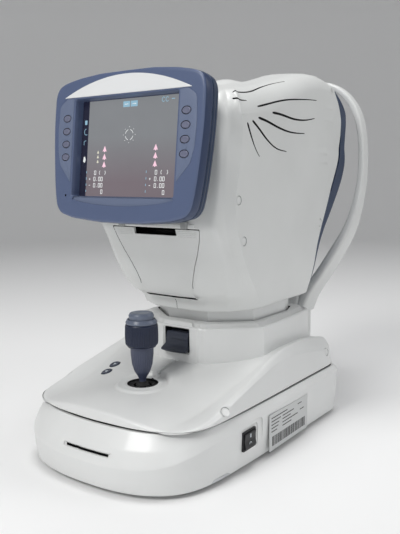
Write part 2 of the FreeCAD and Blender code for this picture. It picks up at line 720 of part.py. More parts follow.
def display_rear_shell():
    ear_r = 5.5
    y, z = DISPLAY_PIVOT
    outer = [(-14.1, 1.0), (-24, 0.985), (-28, 0.95)]    # w, scale
    inner = [(-14, 1.0), (-23.5, 0.985), (-25, 0.96)]
    shell = loft([display_wire(DISPLAY_OUTLINE, w, scale) for w, scale in outer])
    shell = shell.cut(loft([display_wire(DISPLAY_INNER, w, scale) for w, scale in inner]))
    shell = shell.fuse(loft([display_wire(rectangle(70, -52, 14), -27.9),
                             display_wire(rectangle(62, -46, 8), -34)]))
    for side in SIDES:
        ear = side_span(side, 20, 28.5)
        shell = shell.fuse(box(*ear, -138, y, z - ear_r, z + ear_r))
        shell = shell.fuse(x_rod(ear_r, *ear, y, z))
    shell = shell.cut(display_prism(rectangle(74.5, -56, 56), -24.5, -10))
    return shell.fuse(x_rod(3, -35, 35, y, z))


# ================= build and export =================
column = chinrest_column()
deck_outer = deck_solid(0)
head_outer = head_loft(0, 160, 452)
head_wall = head_outer.cut(head_loft(WALL, 155, 449))
front_wall = head_wall.cut(behind_seam(0))

pieces = {
    "chinrest_column": column,
    "headrest_frame": headrest_frame(column),
    "stage_cover": stage_cover(deck_outer),
    "pedestal_cover": pedestal_cover(deck_outer),
    "head_shell_right": head_shell(front_wall, 1),
    "head_shell_left": head_shell(front_wall, -1),
    "printer_cover": printer_cover(front_wall),
    "patient_cover": patient_cover(head_wall),
    "display_bracket": display_bracket(head_outer)}
for build in (
        base_cover, base_chassis, rubber_feet, power_supply, card_reader, power_rocker,
        gear_racks, friction_pad, chin_lift_motor, chin_lift_screw, chinrest, chin_papers,
        forehead_pad, cross_carriage, cross_rails, pinion_axle, lock_lever, stage_chassis,
        lift_guide_rods, lift_motor, lift_screw, joystick_boot, joystick_gimbal,
        joystick_stick, joystick_ring, start_button, measuring_window, head_neck,
        optical_bench, camera_module, objective_barrel, objective_lens, main_board,
        print_mechanism, paper_roll, platen_roller, screw_caps, display_bezel, display_trim,
        lcd_panel, display_rear_shell):
    pieces[build.__name__] = build()
for name, (x, y, z) in CHIN_BUTTONS.items():
    pieces[name] = z_rod(BUTTON_R, x, y, z - 6, z + 1.2)
for side, side_name in KEY_SIDES:
    for number, v in enumerate(KEY_V, 1):
        key = display_prism(key_outline(side, v, 1.0), -7, 1.0)
        pieces["display_key_%s_%d" % (side_name, number)] = key

os.makedirs("parts", exist_ok=True)
for name, shape in pieces.items():
    solids = shape.Solids
    shape = solids[0] if len(solids) == 1 else Part.makeCompound(solids)
    shape.exportStep("parts/%s.step" % name)
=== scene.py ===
"""Table-top eye-measuring instrument: plinth, sliding stage with joystick, measuring head,
tilted display, chinrest and headrest.

It stands on z = 0. The operator's side (front) faces -y, the patient's side +y, and right
is +x. Lengths are millimetres, turned into metres when a mesh is made.
"""
import bpy
import bmesh
import math
import numpy as np
from mathutils import Vector, Matrix
from mathutils.bvhtree import BVHTree


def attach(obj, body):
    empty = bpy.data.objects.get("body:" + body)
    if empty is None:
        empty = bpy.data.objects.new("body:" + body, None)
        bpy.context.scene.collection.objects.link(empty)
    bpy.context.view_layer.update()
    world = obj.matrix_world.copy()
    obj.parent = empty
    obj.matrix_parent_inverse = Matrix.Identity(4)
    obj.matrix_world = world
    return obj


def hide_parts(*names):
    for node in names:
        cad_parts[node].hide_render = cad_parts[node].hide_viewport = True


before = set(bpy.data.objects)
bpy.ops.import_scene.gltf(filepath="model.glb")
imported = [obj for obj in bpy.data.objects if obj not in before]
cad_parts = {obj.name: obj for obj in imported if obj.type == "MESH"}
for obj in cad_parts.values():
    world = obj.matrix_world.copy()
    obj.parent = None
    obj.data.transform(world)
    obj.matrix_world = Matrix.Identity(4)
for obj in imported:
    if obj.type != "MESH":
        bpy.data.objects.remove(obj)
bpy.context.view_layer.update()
MM = 0.001
SCENE = bpy.context.scene
SIDES = ((1, "r"), (-1, "l"))


# ------------------------------------------------------------------ shader helpers
def set_inputs(tree, node, inputs):
    """Links an input given as a socket, and sets any other as a value."""
    for key, value in inputs.items():
        if isinstance(value, bpy.types.NodeSocket):
            tree.links.new(value, node.inputs[key])
        else:
            node.inputs[key].default_value = value


def add_node(tree, kind, inputs=None, **settings):
    node = tree.nodes.new("ShaderNode" + kind)
    for attribute, value in settings.items():
        setattr(node, attribute, value)
    set_inputs(tree, node, inputs or {})
    return node


def new_material(name, colour=None):
    """Material with a Principled shader; colour is the viewport colour."""
    material = bpy.data.materials.new(name)
    material.use_nodes = True
    tree = material.node_tree
    tree.nodes.clear()
    output = add_node(tree, "OutputMaterial")
    shader = add_node(tree, "BsdfPrincipled")
    tree.links.new(shader.outputs[0], output.inputs[0])
    if colour:
        material.diffuse_color = (*colour, 1)
    return material, tree, shader


def noise(tree, vector, scale, detail=2.0, roughness=0.5):
    node = add_node(tree, "TexNoise", {"Scale": scale, "Detail": detail, "Roughness": roughness})
    if vector:
        tree.links.new(vector, node.inputs["Vector"])
    return node.outputs["Fac"]


def map_range(tree, value, to_min=0.0, to_max=1.0, from_min=0.0, from_max=1.0):
    return add_node(tree, "MapRange", {
        "Value": value, "From Min": from_min, "From Max": from_max,
        "To Min": to_min, "To Max": to_max}).outputs[0]


def scale_colour(tree, colour, factor):
    node = add_node(tree, "VectorMath", operation="SCALE")
    set_inputs(tree, node, {0: colour, "Scale": factor})
    return node.outputs[0]


def mix_colour(tree, factor, first, second):
    node = add_node(tree, "Mix", data_type="RGBA")
    set_inputs(tree, node, {0: factor, 6: first, 7: second})
    return node.outputs[2]


def bumped_normal(tree, height, strength, distance, bevel):
    """Fine relief on top of edges softened by the bevel radius (none if 0)."""
    bump = add_node(tree, "Bump", {"Height": height, "Strength": strength, "Distance": distance})
    if bevel > 0:
        edges = add_node(tree, "Bevel", {"Radius": bevel}, samples=4)
        tree.links.new(edges.outputs[0], bump.inputs["Normal"])
    return bump.outputs[0]


def object_coords(tree):
    return add_node(tree, "TexCoord").outputs["Object"]


# ------------------------------------------------------------------ kinds of material
def plastic(name, colour, roughness=0.42, grain=0.00035, bump=0.10, drift=0.035,
            specular=0.5, coat=0.0, hollow_shade=0.0, bevel=0.0006):
    """Moulded plastic: fine grain, slow colour drift, uneven sheen, painted shade in the hollows.
    """
    material, tree, shader = new_material(name, colour)
    coords = object_coords(tree)
    grain_fac = noise(tree, coords, scale=1.0 / grain / 2.2, detail=3.0, roughness=0.6)
    patches = noise(tree, coords, scale=9.0, detail=4.0)
    brightness = map_range(tree, patches, 1.0 - drift, 1.0 + drift, from_min=0.3, from_max=0.7)
    base = scale_colour(tree, colour, brightness)
    # painted shade: hollows (low pointiness) darken towards a dim, warm copy of the colour
    if hollow_shade > 0:
        geometry = add_node(tree, "NewGeometry")
        painted_hollow_shade = map_range(tree, geometry.outputs["Pointiness"], to_min=hollow_shade, to_max=0.0,
                            from_min=0.40, from_max=0.5)
        hollow_shade_colour = (colour[0] * 0.45, colour[1] * 0.42, colour[2] * 0.38, 1)
        base = mix_colour(tree, painted_hollow_shade, base, hollow_shade_colour)
    wear = noise(tree, coords, scale=40.0, detail=5.0)
    set_inputs(tree, shader, {
        "Base Color": base,
        "Roughness": map_range(tree, wear, roughness - 0.05, roughness + 0.07),
        "Specular IOR Level": specular,
        "Coat Weight": coat,
        "Coat Roughness": 0.12,
        "Normal": bumped_normal(tree, grain_fac, bump, distance=0.00012, bevel=bevel)})
    return material


def metal(name, colour, roughness):
    """Brushed metal, its grain squeezed along z."""
    material, tree, shader = new_material(name, colour)
    mapping = add_node(tree, "Mapping", {"Scale": (1.0, 1.0, 22.0),
                                         "Vector": object_coords(tree)})
    brushing = noise(tree, mapping.outputs[0], scale=160.0, detail=5.0)
    set_inputs(tree, shader, {
        "Roughness": map_range(tree, brushing, roughness - 0.08, roughness + 0.12),
        "Base Color": scale_colour(tree, colour, map_range(tree, brushing, 0.9, 1.06)),
        "Metallic": 1.0,
        "Anisotropic": 0.4,
        "Normal": bumped_normal(tree, brushing, strength=0.06, distance=0.0001, bevel=0.0004)})
    return material


def lit(name, colour, strength=1.0, roughness=0.25, low_colour=None, low_z=0, high_z=0):
    """Lit display surface; it fades to low_colour from high_z down to low_z (metres)."""
    material, tree, shader = new_material(name, colour)
    coords = object_coords(tree)
    flicker = map_range(tree, noise(tree, coords, scale=14.0, detail=3.0), 0.9, 1.1)
    glow = colour
    if low_colour:
        height = add_node(tree, "SeparateXYZ", {0: coords}).outputs[2]
        rise = map_range(tree, height, from_min=low_z, from_max=high_z)
        glow = mix_colour(tree, rise, (*low_colour, 1), (*colour, 1))
    set_inputs(tree, shader, {
        "Base Color": (0.02, 0.02, 0.025, 1),
        "Roughness": roughness,
        "Emission Strength": strength,
        "Emission Color": scale_colour(tree, glow, flicker)})
    return material


def coated_glass(name, colour, roughness=0.03):
    material, tree, shader = new_material(name, colour)
    smears = noise(tree, object_coords(tree), scale=60.0)
    set_inputs(tree, shader, {
        "Roughness": map_range(tree, smears, roughness, roughness + 0.04),
        "Base Color": (*colour, 1),
        "Coat Weight": 1.0,
        "Coat Tint": (0.55, 0.45, 0.85, 1),
        "Specular IOR Level": 0.9})
    return material


MAT = {
    "white": plastic("shell_offwhite_plastic", (0.735, 0.745, 0.735), roughness=0.36,
                     hollow_shade=0.25, coat=0.12),
    "white_base": plastic("plinth_offwhite_plastic", (0.77, 0.778, 0.772), roughness=0.34,
                          hollow_shade=0.25, coat=0.25),
    # darker copy of the shell's white for cut edges, counterbores, tongues and the hinge barrel:
    # painted shade
    "white_in_shade": plastic("shell_inside_painted_shade", (0.35, 0.36, 0.36), roughness=0.6),
    "display": plastic("display_bluegrey_plastic", (0.088, 0.120, 0.220), roughness=0.34,
                       bump=0.16, specular=0.6),
    # darker copy of the frame's blue for its sides: painted shade
    "display_flank_shade": plastic("display_flank_painted_shade", (0.027, 0.047, 0.112),
                             roughness=0.36, bump=0.16),
    "keypad": plastic("display_keypad_plastic", (0.142, 0.176, 0.272), roughness=0.38,
                      bump=0.16),
    "display_rear": plastic("display_rear_navy_plastic", (0.018, 0.036, 0.082),
                            roughness=0.40, bump=0.16),
    "navy": plastic("patient_cover_navy_plastic", (0.022, 0.042, 0.095), roughness=0.40),
    "ring": plastic("joystick_ring_navy_plastic", (0.006, 0.013, 0.040), roughness=0.38,
                    bump=0.2),
    "cone": plastic("joystick_slate_plastic", (0.052, 0.062, 0.108), roughness=0.36,
                    bump=0.35),
    "cap": plastic("joystick_cap_slate_plastic", (0.125, 0.148, 0.205), roughness=0.30,
                   bump=0.2),
    "key": plastic("key_slate_plastic", (0.150, 0.160, 0.235), roughness=0.36),
    # near-black for the walls round the keys: painted shade
    "key_gap_shade": plastic("key_gap_painted_shade", (0.010, 0.011, 0.020), roughness=0.5),
    "silver": plastic("silver_white_trim", (0.80, 0.81, 0.82), roughness=0.22, drift=0.01,
                      bump=0.02, coat=0.5),
    "black": plastic("black_fine_plastic", (0.008, 0.008, 0.010), roughness=0.45),
    "gap": plastic("shadow_gap_black", (0.010, 0.010, 0.012), roughness=0.8, bevel=0.0),
    "lever": plastic("lever_slate_plastic", (0.030, 0.036, 0.055), roughness=0.36, bump=0.2),
    "button": plastic("deck_button_slate_plastic", (0.035, 0.045, 0.075), roughness=0.3,
                      coat=0.3),
    "mark": plastic("glyph_light_ink", (0.62, 0.66, 0.70), roughness=0.5, bump=0.02,
                    bevel=0.0),
    "rubber": plastic("black_rubber", (0.015, 0.015, 0.016), roughness=0.75, grain=0.0006,
                      bump=0.3),
    "silicone": plastic("soft_grey_silicone", (0.33, 0.36, 0.40), roughness=0.62,
                        grain=0.0008, bump=0.35),
    "paper": plastic("thermal_paper", (0.84, 0.84, 0.80), roughness=0.85, grain=0.0005,
                     bump=0.25, drift=0.02, bevel=0.0),
    "plate": plastic("rating_plate_silver", (0.60, 0.61, 0.61), roughness=0.35, bump=0.03,
                     drift=0.02),
    "ink": plastic("black_ink", (0.03, 0.03, 0.032), roughness=0.6, bump=0.02, bevel=0.0),
    "green": plastic("circuit_board_green", (0.02, 0.13, 0.06), roughness=0.4),
    "powder": plastic("powder_coated_grey", (0.28, 0.29, 0.30), roughness=0.5, grain=0.0009,
                      bump=0.4),
    "steel": metal("ground_steel", (0.56, 0.57, 0.59), roughness=0.28),
    "alu": metal("machined_aluminium", (0.72, 0.73, 0.74), roughness=0.38),
    "lcd": lit("lcd_picture", (0.205, 0.215, 0.225), roughness=0.16,
               low_colour=(0.165, 0.135, 0.150), low_z=0.315, high_z=0.365),
    "lcd_dark": lit("lcd_border", (0.006, 0.007, 0.030), strength=0.6, roughness=0.16),
    "lcd_white": lit("lcd_white", (0.78, 0.80, 0.80)),
    "lcd_pink": lit("lcd_pink", (0.95, 0.62, 0.74)),
    "lcd_cream": lit("lcd_cream", (0.80, 0.78, 0.62), strength=0.9),
    "lcd_cyan": lit("lcd_cyan", (0.30, 0.52, 0.66), strength=0.9),
    "glass": coated_glass("coated_dark_glass", (0.012, 0.010, 0.030)),
}


# ------------------------------------------------------------------ curves and outlines
# Corner lists hold (coordinates..., corner radius). seg = (steps per straight, per corner).
def spline(xs, ys, x):
    """Monotone cubic through (xs, ys) at x; ys may hold several columns."""
    xs, ys, x = (np.asarray(values, float) for values in (xs, ys, x))
    single = ys.ndim == 1
    if single:
        ys = ys[:, None]
    step = np.diff(xs)[:, None]
    secant = np.diff(ys, axis=0) / step
    before, after = secant[:-1], secant[1:]
    weight_1 = 2 * step[1:] + step[:-1]
    weight_2 = step[1:] + 2 * step[:-1]
    with np.errstate(divide="ignore", invalid="ignore"):
        mean = (weight_1 + weight_2) / (weight_1 / before + weight_2 / after)
    slope = np.zeros_like(ys)
    slope[1:-1] = np.where(before * after > 0, mean, 0.0)
    slope[0], slope[-1] = secant[0], secant[-1]
    i = np.clip(np.searchsorted(xs, x) - 1, 0, len(xs) - 2)
    t = np.clip(((x - xs[i]) / step[i, 0])[..., None], 0, 1)
    result = ((2 * t**3 - 3 * t**2 + 1) * ys[i] + (t**3 - 2 * t**2 + t) * step[i] * slope[i]
              + (-2 * t**3 + 3 * t**2) * ys[i + 1] + (t**3 - t**2) * step[i] * slope[i + 1])
    return result[..., 0] if single else result


def rounded(corners, n_line, n_arc, closed=True):
    """Evenly structured points along a polygon with a radius at each corner."""
    table = np.asarray(corners, float)
    points, radii = table[:, :-1], table[:, -1]
    n = len(points)
    arcs = []
    for i in range(n):
        corner = points[i]
        if not closed and i in (0, n - 1):
            arcs.append(np.repeat(corner[None], n_arc + 1, 0))
            continue
        u = points[i - 1] - corner
        v = points[(i + 1) % n] - corner
        u_length = np.linalg.norm(u) + 1e-9
        v_length = np.linalg.norm(v) + 1e-9
        u /= u_length
        v /= v_length
        angle = math.acos(max(-1, min(1, float(u @ v))))
        if angle < math.pi - 1e-3:
            reach = radii[i] / max(math.tan(angle / 2), 1e-3)
        else:
            reach = radii[i] * 0.1
        reach = min(reach, 0.49 * u_length, 0.49 * v_length)
        s = np.linspace(0, 1, n_arc + 1)[:, None]
        handle = reach * 0.30
        arcs.append((1 - s)**3 * (corner + u * reach)
                    + 3 * s * (1 - s)**2 * (corner + u * handle)
                    + 3 * s * s * (1 - s) * (corner + v * handle)
                    + s**3 * (corner + v * reach))
    pieces = []
    s = np.linspace(0, 1, n_line + 1)[1:-1, None]
    for i in range(n):
        pieces.append(arcs[i])
        if i < n - 1 or closed:
            start, end = arcs[i][-1], arcs[(i + 1) % n][0]
            pieces.append(start + (end - start) * s)
    return np.concatenate(pieces)


def rect(x0, x1, y0, y1, r, r_far=None):
    """Corners of a rectangle; r_far is the corner radius at y1."""
    r_far = r if r_far is None else r_far
    return [(x0, y0, r), (x1, y0, r), (x1, y1, r_far), (x0, y1, r_far)]


def oval(x, y, rx, ry, step):
    return [(x + rx * math.cos(a), y + ry * math.sin(a), 0)
            for a in np.arange(0, 2 * math.pi, step)]


def mirrored(half):
    """Half an outline followed by its mirror image; points on x = 0 aren't repeated."""
    return list(half) + [(-x, *rest) for x, *rest in reversed(half) if x != 0]


def unit(vectors):
    return vectors / np.linalg.norm(vectors, axis=1)[:, None]


def outward(loop):
    """Outward normals of a closed 2-D loop listed either way round."""
    ahead = np.roll(loop, -1, 0)
    along = ahead - np.roll(loop, 1, 0)
    normals = np.stack([along[:, 1], -along[:, 0]], 1)
    normals /= np.linalg.norm(normals, axis=1)[:, None] + 1e-12
    area = 0.5 * np.sum(loop[:, 0] * ahead[:, 1] - ahead[:, 0] * loop[:, 1])
    return normals if area > 0 else -normals


def smooth_loop(values, times):
    for _ in range(times):
        values = 0.5 * values + 0.25 * (np.roll(values, 1, 0) + np.roll(values, -1, 0))
    return values


def smooth_around(values, times):
    """smooth_loop for one number per point."""
    return smooth_loop(values[:, None], times)[:, 0]


def smooth_path(points, times, weight=0.25):
    """Smooths an open path in place, its ends held."""
    for _ in range(times):
        points[1:-1] = (1 - 2 * weight) * points[1:-1] + weight * (points[:-2] + points[2:])


def arc_lengths(path):
    return np.r_[0, np.cumsum(np.linalg.norm(np.diff(path, axis=0), axis=1))]


def resample(loop, count):
    closed = np.vstack([loop, loop[:1]])
    s = arc_lengths(closed)
    t = np.linspace(0, s[-1], count, endpoint=False)
    return np.stack([np.interp(t, s, closed[:, k]) for k in range(loop.shape[1])], 1)


def smoothstep(low, high, x):
    t = np.clip((x - low) / (high - low), 0, 1)
    return t * t * (3 - 2 * t)


def shrink(loop, centre_y, scale_x, scale_y, s):
    """Loop moved by the share s towards a scaled copy about (0, centre_y)."""
    target = np.column_stack([loop[:, 0] * scale_x, centre_y + (loop[:, 1] - centre_y) * scale_y])
    return loop + (target - loop) * s


def at_height(loop, z):
    return np.column_stack([loop, np.broadcast_to(z, len(loop))])


# ------------------------------------------------------------------ meshes
# fit = (body it rides on, colour slot[, CAD piece it replaces])
def assign(obj, body, slot, replaced=None):
    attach(obj, body)
    if replaced:
        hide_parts(replaced)


def shade(obj, sharp=38):
    """Smooth shading with edges above sharp degrees kept crisp."""
    mesh = obj.data
    mesh.polygons.foreach_set("use_smooth", np.ones(len(mesh.polygons), bool))
    mesh.set_sharp_from_angle(angle=math.radians(sharp))
    mesh.update()


def add_object(name, verts, faces, mat, fit=None, sharp=38):
    mesh = bpy.data.meshes.new(name)
    mesh.from_pydata([tuple(v) for v in np.asarray(verts, float) * MM], [],
                     [tuple(int(i) for i in face) for face in faces])
    obj = bpy.data.objects.new(name, mesh)
    SCENE.collection.objects.link(obj)
    mesh.materials.append(MAT[mat])
    bm = bmesh.new()
    bm.from_mesh(mesh)
    bmesh.ops.remove_doubles(bm, verts=bm.verts, dist=1e-7)
    bmesh.ops.dissolve_degenerate(bm, dist=1e-8, edges=bm.edges)
    bmesh.ops.recalc_face_normals(bm, faces=bm.faces)
    bm.to_mesh(mesh)
    bm.free()
    shade(obj, sharp)
    if fit:
        assign(obj, *fit)
    return obj


def grid_faces(rows, n):
    """Quads between successive closed rings of n points."""
    return [(i * n + j, i * n + (j + 1) % n, (i + 1) * n + (j + 1) % n, (i + 1) * n + j)
            for i in range(rows - 1) for j in range(n)]


def loft(name, rings, mat, fit=None, sharp=38, cap_end=True):
    """Skin over rings, the ends closed by fans of triangles."""
    rings = np.asarray(rings, float)
    m, n, _ = rings.shape
    verts = list(rings.reshape(-1, 3))
    faces = grid_faces(m, n)
    verts.append(rings[0].mean(0))
    faces += [(m * n, (j + 1) % n, j) for j in range(n)]
    if cap_end:
        verts.append(rings[-1].mean(0))
        last = (m - 1) * n
        faces += [(m * n + 1, last + j, last + (j + 1) % n) for j in range(n)]
    return add_object(name, verts, faces, mat, fit, sharp)


def ring_solid(name, rings, mat, fit, sharp):
    """Skin over rings whose last one joins the first."""
    rings = np.asarray(rings, float)
    m, n, _ = rings.shape
    last = (m - 1) * n
    faces = grid_faces(m, n)
    faces += [(last + j, last + (j + 1) % n, (j + 1) % n, j) for j in range(n)]
    return add_object(name, rings.reshape(-1, 3), faces, mat, fit, sharp)


def flat_ended(name, rings, mat, fit=None, sharp=38):
    """Skin over rings, the ends closed by single flat faces."""
    rings = np.asarray(rings, float)
    m, n, _ = rings.shape
    faces = grid_faces(m, n)
    faces.append(tuple(range(n))[::-1])
    faces.append(tuple(range((m - 1) * n, m * n)))
    return add_object(name, rings.reshape(-1, 3), faces, mat, fit, sharp)


def revolve(profile, n):
    """Rings about z from (radius, height) points."""
    angles = np.linspace(0, 2 * math.pi, n, endpoint=False)
    return np.asarray([np.stack([r * np.cos(angles), r * np.sin(angles), np.full(n, h)], 1)
                       for r, h in profile])


def lathe(name, profile, centre, mat, n, axis="z", fit=None, sharp=38):
    """Turned solid; profile rows are (radius, height along the axis, corner radius)."""
    points = rounded(profile, 3, 4, closed=False)
    points[:, 0] = np.maximum(points[:, 0], 1e-4)
    order = {"x": [2, 0, 1], "y": [1, 2, 0], "z": [0, 1, 2]}[axis]
    rings = revolve(points, n)[..., order] + np.asarray(centre, float)
    return loft(name, rings, mat, fit, sharp)


def rod(radius, low, high, edge=0):
    """Lathe profile of a plain cylinder."""
    return [(0, low, 0), (radius, low, edge), (radius, high, edge), (0, high, 0)]


def prism(name, outline, axis, start, end, mat, seg, fit=None, steps=1):
    """Outline extruded along an axis from start to end."""
    loop = rounded(outline, *seg)
    column = "xyz".index(axis)
    rings = [np.insert(loop, column, t, axis=1) for t in np.linspace(start, end, steps + 1)]
    return flat_ended(name, rings, mat, fit)


def box(name, x, y, z, mat, r, seg=3, fit=None):
    """Box over the ranges x, y, z with every edge rounded."""
    outline = rounded(rect(*x, *y, r), 1, seg)
    centre = np.array([(x[0] + x[1]) / 2, (y[0] + y[1]) / 2])
    half = np.array([(x[1] - x[0]) / 2, (y[1] - y[0]) / 2])
    angles = [math.pi / 2 * s / seg for s in range(seg + 1)]
    levels = [(a, z[0] + r * (1 - math.cos(a))) for a in angles]
    levels += [(a, z[1] - r * (1 - math.cos(a))) for a in reversed(angles)]
    rings = []
    for a, level in levels:
        scale = (half - r * (1 - math.sin(a))) / half
        rings.append(at_height((outline - centre) * scale + centre, level))
    return loft(name, rings, mat, fit, 45)


def evaluated_mesh(obj):
    bpy.context.view_layer.update()
    graph = bpy.context.evaluated_depsgraph_get()
    return bpy.data.meshes.new_from_object(obj.evaluated_get(graph), depsgraph=graph)


def boolean(obj, tool, operation="DIFFERENCE"):
    """Applies a boolean and removes the tool; cut faces take the tool's material."""
    modifier = obj.modifiers.new("boolean", "BOOLEAN")
    modifier.operation = operation
    modifier.object = tool
    modifier.solver = "MANIFOLD"
    modifier.material_mode = "TRANSFER"
    mesh = evaluated_mesh(obj)
    # the manifold solver gives nothing, or no cut, on meshes it can't take
    uncut = operation == "DIFFERENCE" and len(mesh.polygons) == len(obj.data.polygons)
    if len(mesh.polygons) == 0 or uncut:
        modifier.solver = "EXACT"
        mesh = evaluated_mesh(obj)
    obj.modifiers.remove(modifier)
    old = obj.data
    name = old.name
    obj.data = mesh
    bpy.data.meshes.remove(old)
    mesh.name = name
    bpy.data.objects.remove(tool)


def join(name, objects, fit):
    """One object made of several, their materials kept."""
    materials, verts, faces, indices = [], [], [], []
    for obj in objects:
        offset = len(verts)
        verts += [tuple(v.co) for v in obj.data.vertices]
        for material in obj.data.materials:
            if material not in materials:
                materials.append(material)
        own = [materials.index(material) for material in obj.data.materials]
        for face in obj.data.polygons:
            faces.append(tuple(offset + i for i in face.vertices))
            indices.append(own[face.material_index])
    mesh = bpy.data.meshes.new(name)
    mesh.from_pydata(verts, [], faces)
    for material in materials:
        mesh.materials.append(material)
    mesh.polygons.foreach_set("material_index", np.asarray(indices, np.int32))
    for obj in objects:
        bpy.data.objects.remove(obj)
    joined = bpy.data.objects.new(name, mesh)
    SCENE.collection.objects.link(joined)
    shade(joined)
    assign(joined, *fit)


def clean(obj, sharp=38):
    """Tidies a mesh after booleans."""
    bm = bmesh.new()
    bm.from_mesh(obj.data)
    bmesh.ops.remove_doubles(bm, verts=bm.verts, dist=1.5e-7)
    bmesh.ops.dissolve_degenerate(bm, dist=1.5e-7, edges=bm.edges)
    loose = [v for v in bm.verts if not v.link_faces]
    bmesh.ops.delete(bm, geom=loose, context="VERTS")
    bm.to_mesh(obj.data)
    bm.free()
    shade(obj, sharp)


def paint(obj, mat, test):
    """Gives the faces that pass the test another material."""
    materials = obj.data.materials
    materials.append(MAT[mat])
    for face in obj.data.polygons:
        if test(face):
            face.material_index = len(materials) - 1


def aim(obj, point, normal):
    """Moves a mesh built about z to a point, with z along the normal."""
    turn = Vector(normal).normalized().to_track_quat("Z", "Y").to_matrix().to_4x4()
    obj.data.transform(Matrix.Translation(Vector(point) * MM) @ turn)


def get_verts(obj):
    return np.array([v.co for v in obj.data.vertices]) / MM


def set_verts(obj, verts):
    obj.data.vertices.foreach_set("co", (verts * MM).ravel())
    obj.data.update()


def surface_tree(obj):
    bm = bmesh.new()
    bm.from_mesh(obj.data)
    tree = BVHTree.FromBMesh(bm)
    bm.free()
    return tree


def footprint(half, y_rear, r_rear, count):
    """Plan from its right half, front centre to side, closed by a rounded rear."""
    side = [(x, y, 22) for x, y in half[1:]] + [(half[-1][0] + 0.6, y_rear, r_rear)]
    other = [(-x, y, r) for x, y, r in reversed(side)]
    front = half[0][1]
    corners = [(0, y_rear, 400)] + other + [(0, front, 200)] + side
    loop = smooth_loop(resample(rounded(corners, 12, 10), count), 3)
    loop[:, 1] += front - loop[:, 1].min()
    return loop


# ------------------------------------------------------------------ base plinth
PLINTH_N = 280
PLINTH_FRONT, PLINTH_REAR = -247.5, 125
PLINTH_HALF = [  # (x, y) of the right half
    (0, PLINTH_FRONT), (30, -246.3), (55, -242.4), (76, -235.4), (93, -225.4),
    (105.6, -213.4), (114, -199.5), (119.2, -184), (122, -168), (124.2, -148),
    (126.6, -100), (128.4, -30), (129.4, 50)]
plinth = footprint(PLINTH_HALF, PLINTH_REAR, 22, PLINTH_N)
plinth_out = outward(plinth)

# the side's outer crease climbs from the front to the rear
facing_front = np.clip(-plinth_out[:, 1], 0, 1)
run_back = np.clip((plinth[:, 1] - PLINTH_FRONT) / (PLINTH_REAR - PLINTH_FRONT), 0, 1)
crease_z = (30.5 + (1 - facing_front ** 1.3) * 20
            + np.clip(run_back - 0.28, 0, 1) * 14.0 * (1 - facing_front))
crease_z = np.where(plinth_out[:, 1] > 0.3, 60.5, np.minimum(crease_z, 60.5))
crease_z = smooth_around(crease_z, 10)
# the top rim is set back most at the front
rim_inset = (6.6 + (21.5 - 6.6) * facing_front ** 1.2
             - 3.0 * np.clip(plinth_out[:, 1], 0, 1))
rim_inset = smooth_around(rim_inset, 6)


def plinth_profile(crease, rim):
    """(inset, z) points from the underside up to the ledge under the deck."""
    belly = 0.5 * (0 + rim) - 1.6 * min(1.0, rim / 12.0)
    return rounded([(9.0, 4.6, 0), (5.2, 4.2, 1.0), (3.6, 5.4, 2.5), (1.3, 0.5 * crease, 60),
                    (0.0, crease, 5.0), (belly, 0.5 * (crease + 64.4), 30), (rim, 64.4, 1.6),
                    (rim + 3.5, 64.6, 0.8), (rim + 4.6, 62.2, 0.6), (rim + 16, 62.2, 0)],
                   4, 5, closed=False)


profiles = np.asarray([plinth_profile(*pair) for pair in zip(crease_z, rim_inset)])
plinth_rings = np.asarray([
    at_height(plinth - plinth_out * profiles[:, m, 0][:, None], profiles[:, m, 1])
    for m in range(profiles.shape[1])])
base = loft("plinth_cover", plinth_rings, "white_base", sharp=50)
# the ledge under the deck's rim stays in shadow
mean_inset, mean_z = profiles.mean(axis=0).T
ledge_ring = int(np.argmax(mean_inset * (mean_z > 61) > rim_inset.mean() + 3.0))
paint(base, "gap", lambda face: face.index >= ledge_ring * PLINTH_N and face.center.z > 0.0615)


def plinth_front_y(x, z):
    """y of the plinth's front surface near x, z."""
    points = plinth_rings.reshape(-1, 3)
    near = points[(points[:, 1] < -150) & (abs(points[:, 0] - x) < 4)]
    distance = abs(near[:, 2] - z) + 0.3 * abs(near[:, 0] - x)
    return float(near[np.argsort(distance)[:3], 1].mean())


SLOT_X, SLOT_Z = 2, 39.5
slot_y = plinth_front_y(SLOT_X, SLOT_Z)
band_lean = math.atan2(plinth_front_y(SLOT_X, 46.0) - slot_y, 6.5)


def on_band(u, v, w):
    """Point from u along x, v up the sloped front band and w out of it."""
    bow = plinth_front_y(u, SLOT_Z) - plinth_front_y(SLOT_X, SLOT_Z)
    return np.array([u, slot_y + bow + v * math.sin(band_lean) - w * math.cos(band_lean),
                     39.6 + v * math.cos(band_lean) + w * math.sin(band_lean)])


def band_cutter(u0, u1, v0, v1, depth, mat, r, taper=0.0):
    """Block across the front band, narrowed by taper at its bottom."""
    loop = rounded(rect(u0, u1, v0, v1, r), 18, 4)
    centre = np.array([(u0 + u1) / 2, (v0 + v1) / 2])
    rings = []
    for w, inset in ((-depth, taper), (3.0, 0.0)):
        scale = 1 - inset * 2 / np.array([u1 - u0, v1 - v0])
        rings.append([on_band(u, v, w) for u, v in centre + (loop - centre) * scale])
    return flat_ended("cut", rings, mat)


# card slot in a shallow bevelled frame
boolean(base, band_cutter(-27.5, 39.5, -2.0, 4.4, 1.7, "white_base", r=1.2, taper=1.5))
boolean(base, band_cutter(-23.5, 35.5, -0.1, 2.5, 9, "gap", r=0.5))
# right side: stepped recess of the power switch, its hole, and the rating plate's seat
for outline, depth_x, mat, seg in (
        (rect(-133, -83.5, 12, 54, 9), 125.6, "white_base", (3, 8)),
        (rect(-127.5, -93, 17, 50, 6), 124.8, "white_base", (3, 7)),
        (rect(-124.2, -98.8, 24.8, 46.2, 0.6), 112, "gap", (2, 3)),
        (rect(-74, 24, 5, 52, 3), 128.6, "white_base", (3, 5))):
    boolean(base, prism("cut", outline, "x", depth_x, 140, mat, seg))
clean(base)
assign(base, "root", "base_white", "base_cover")

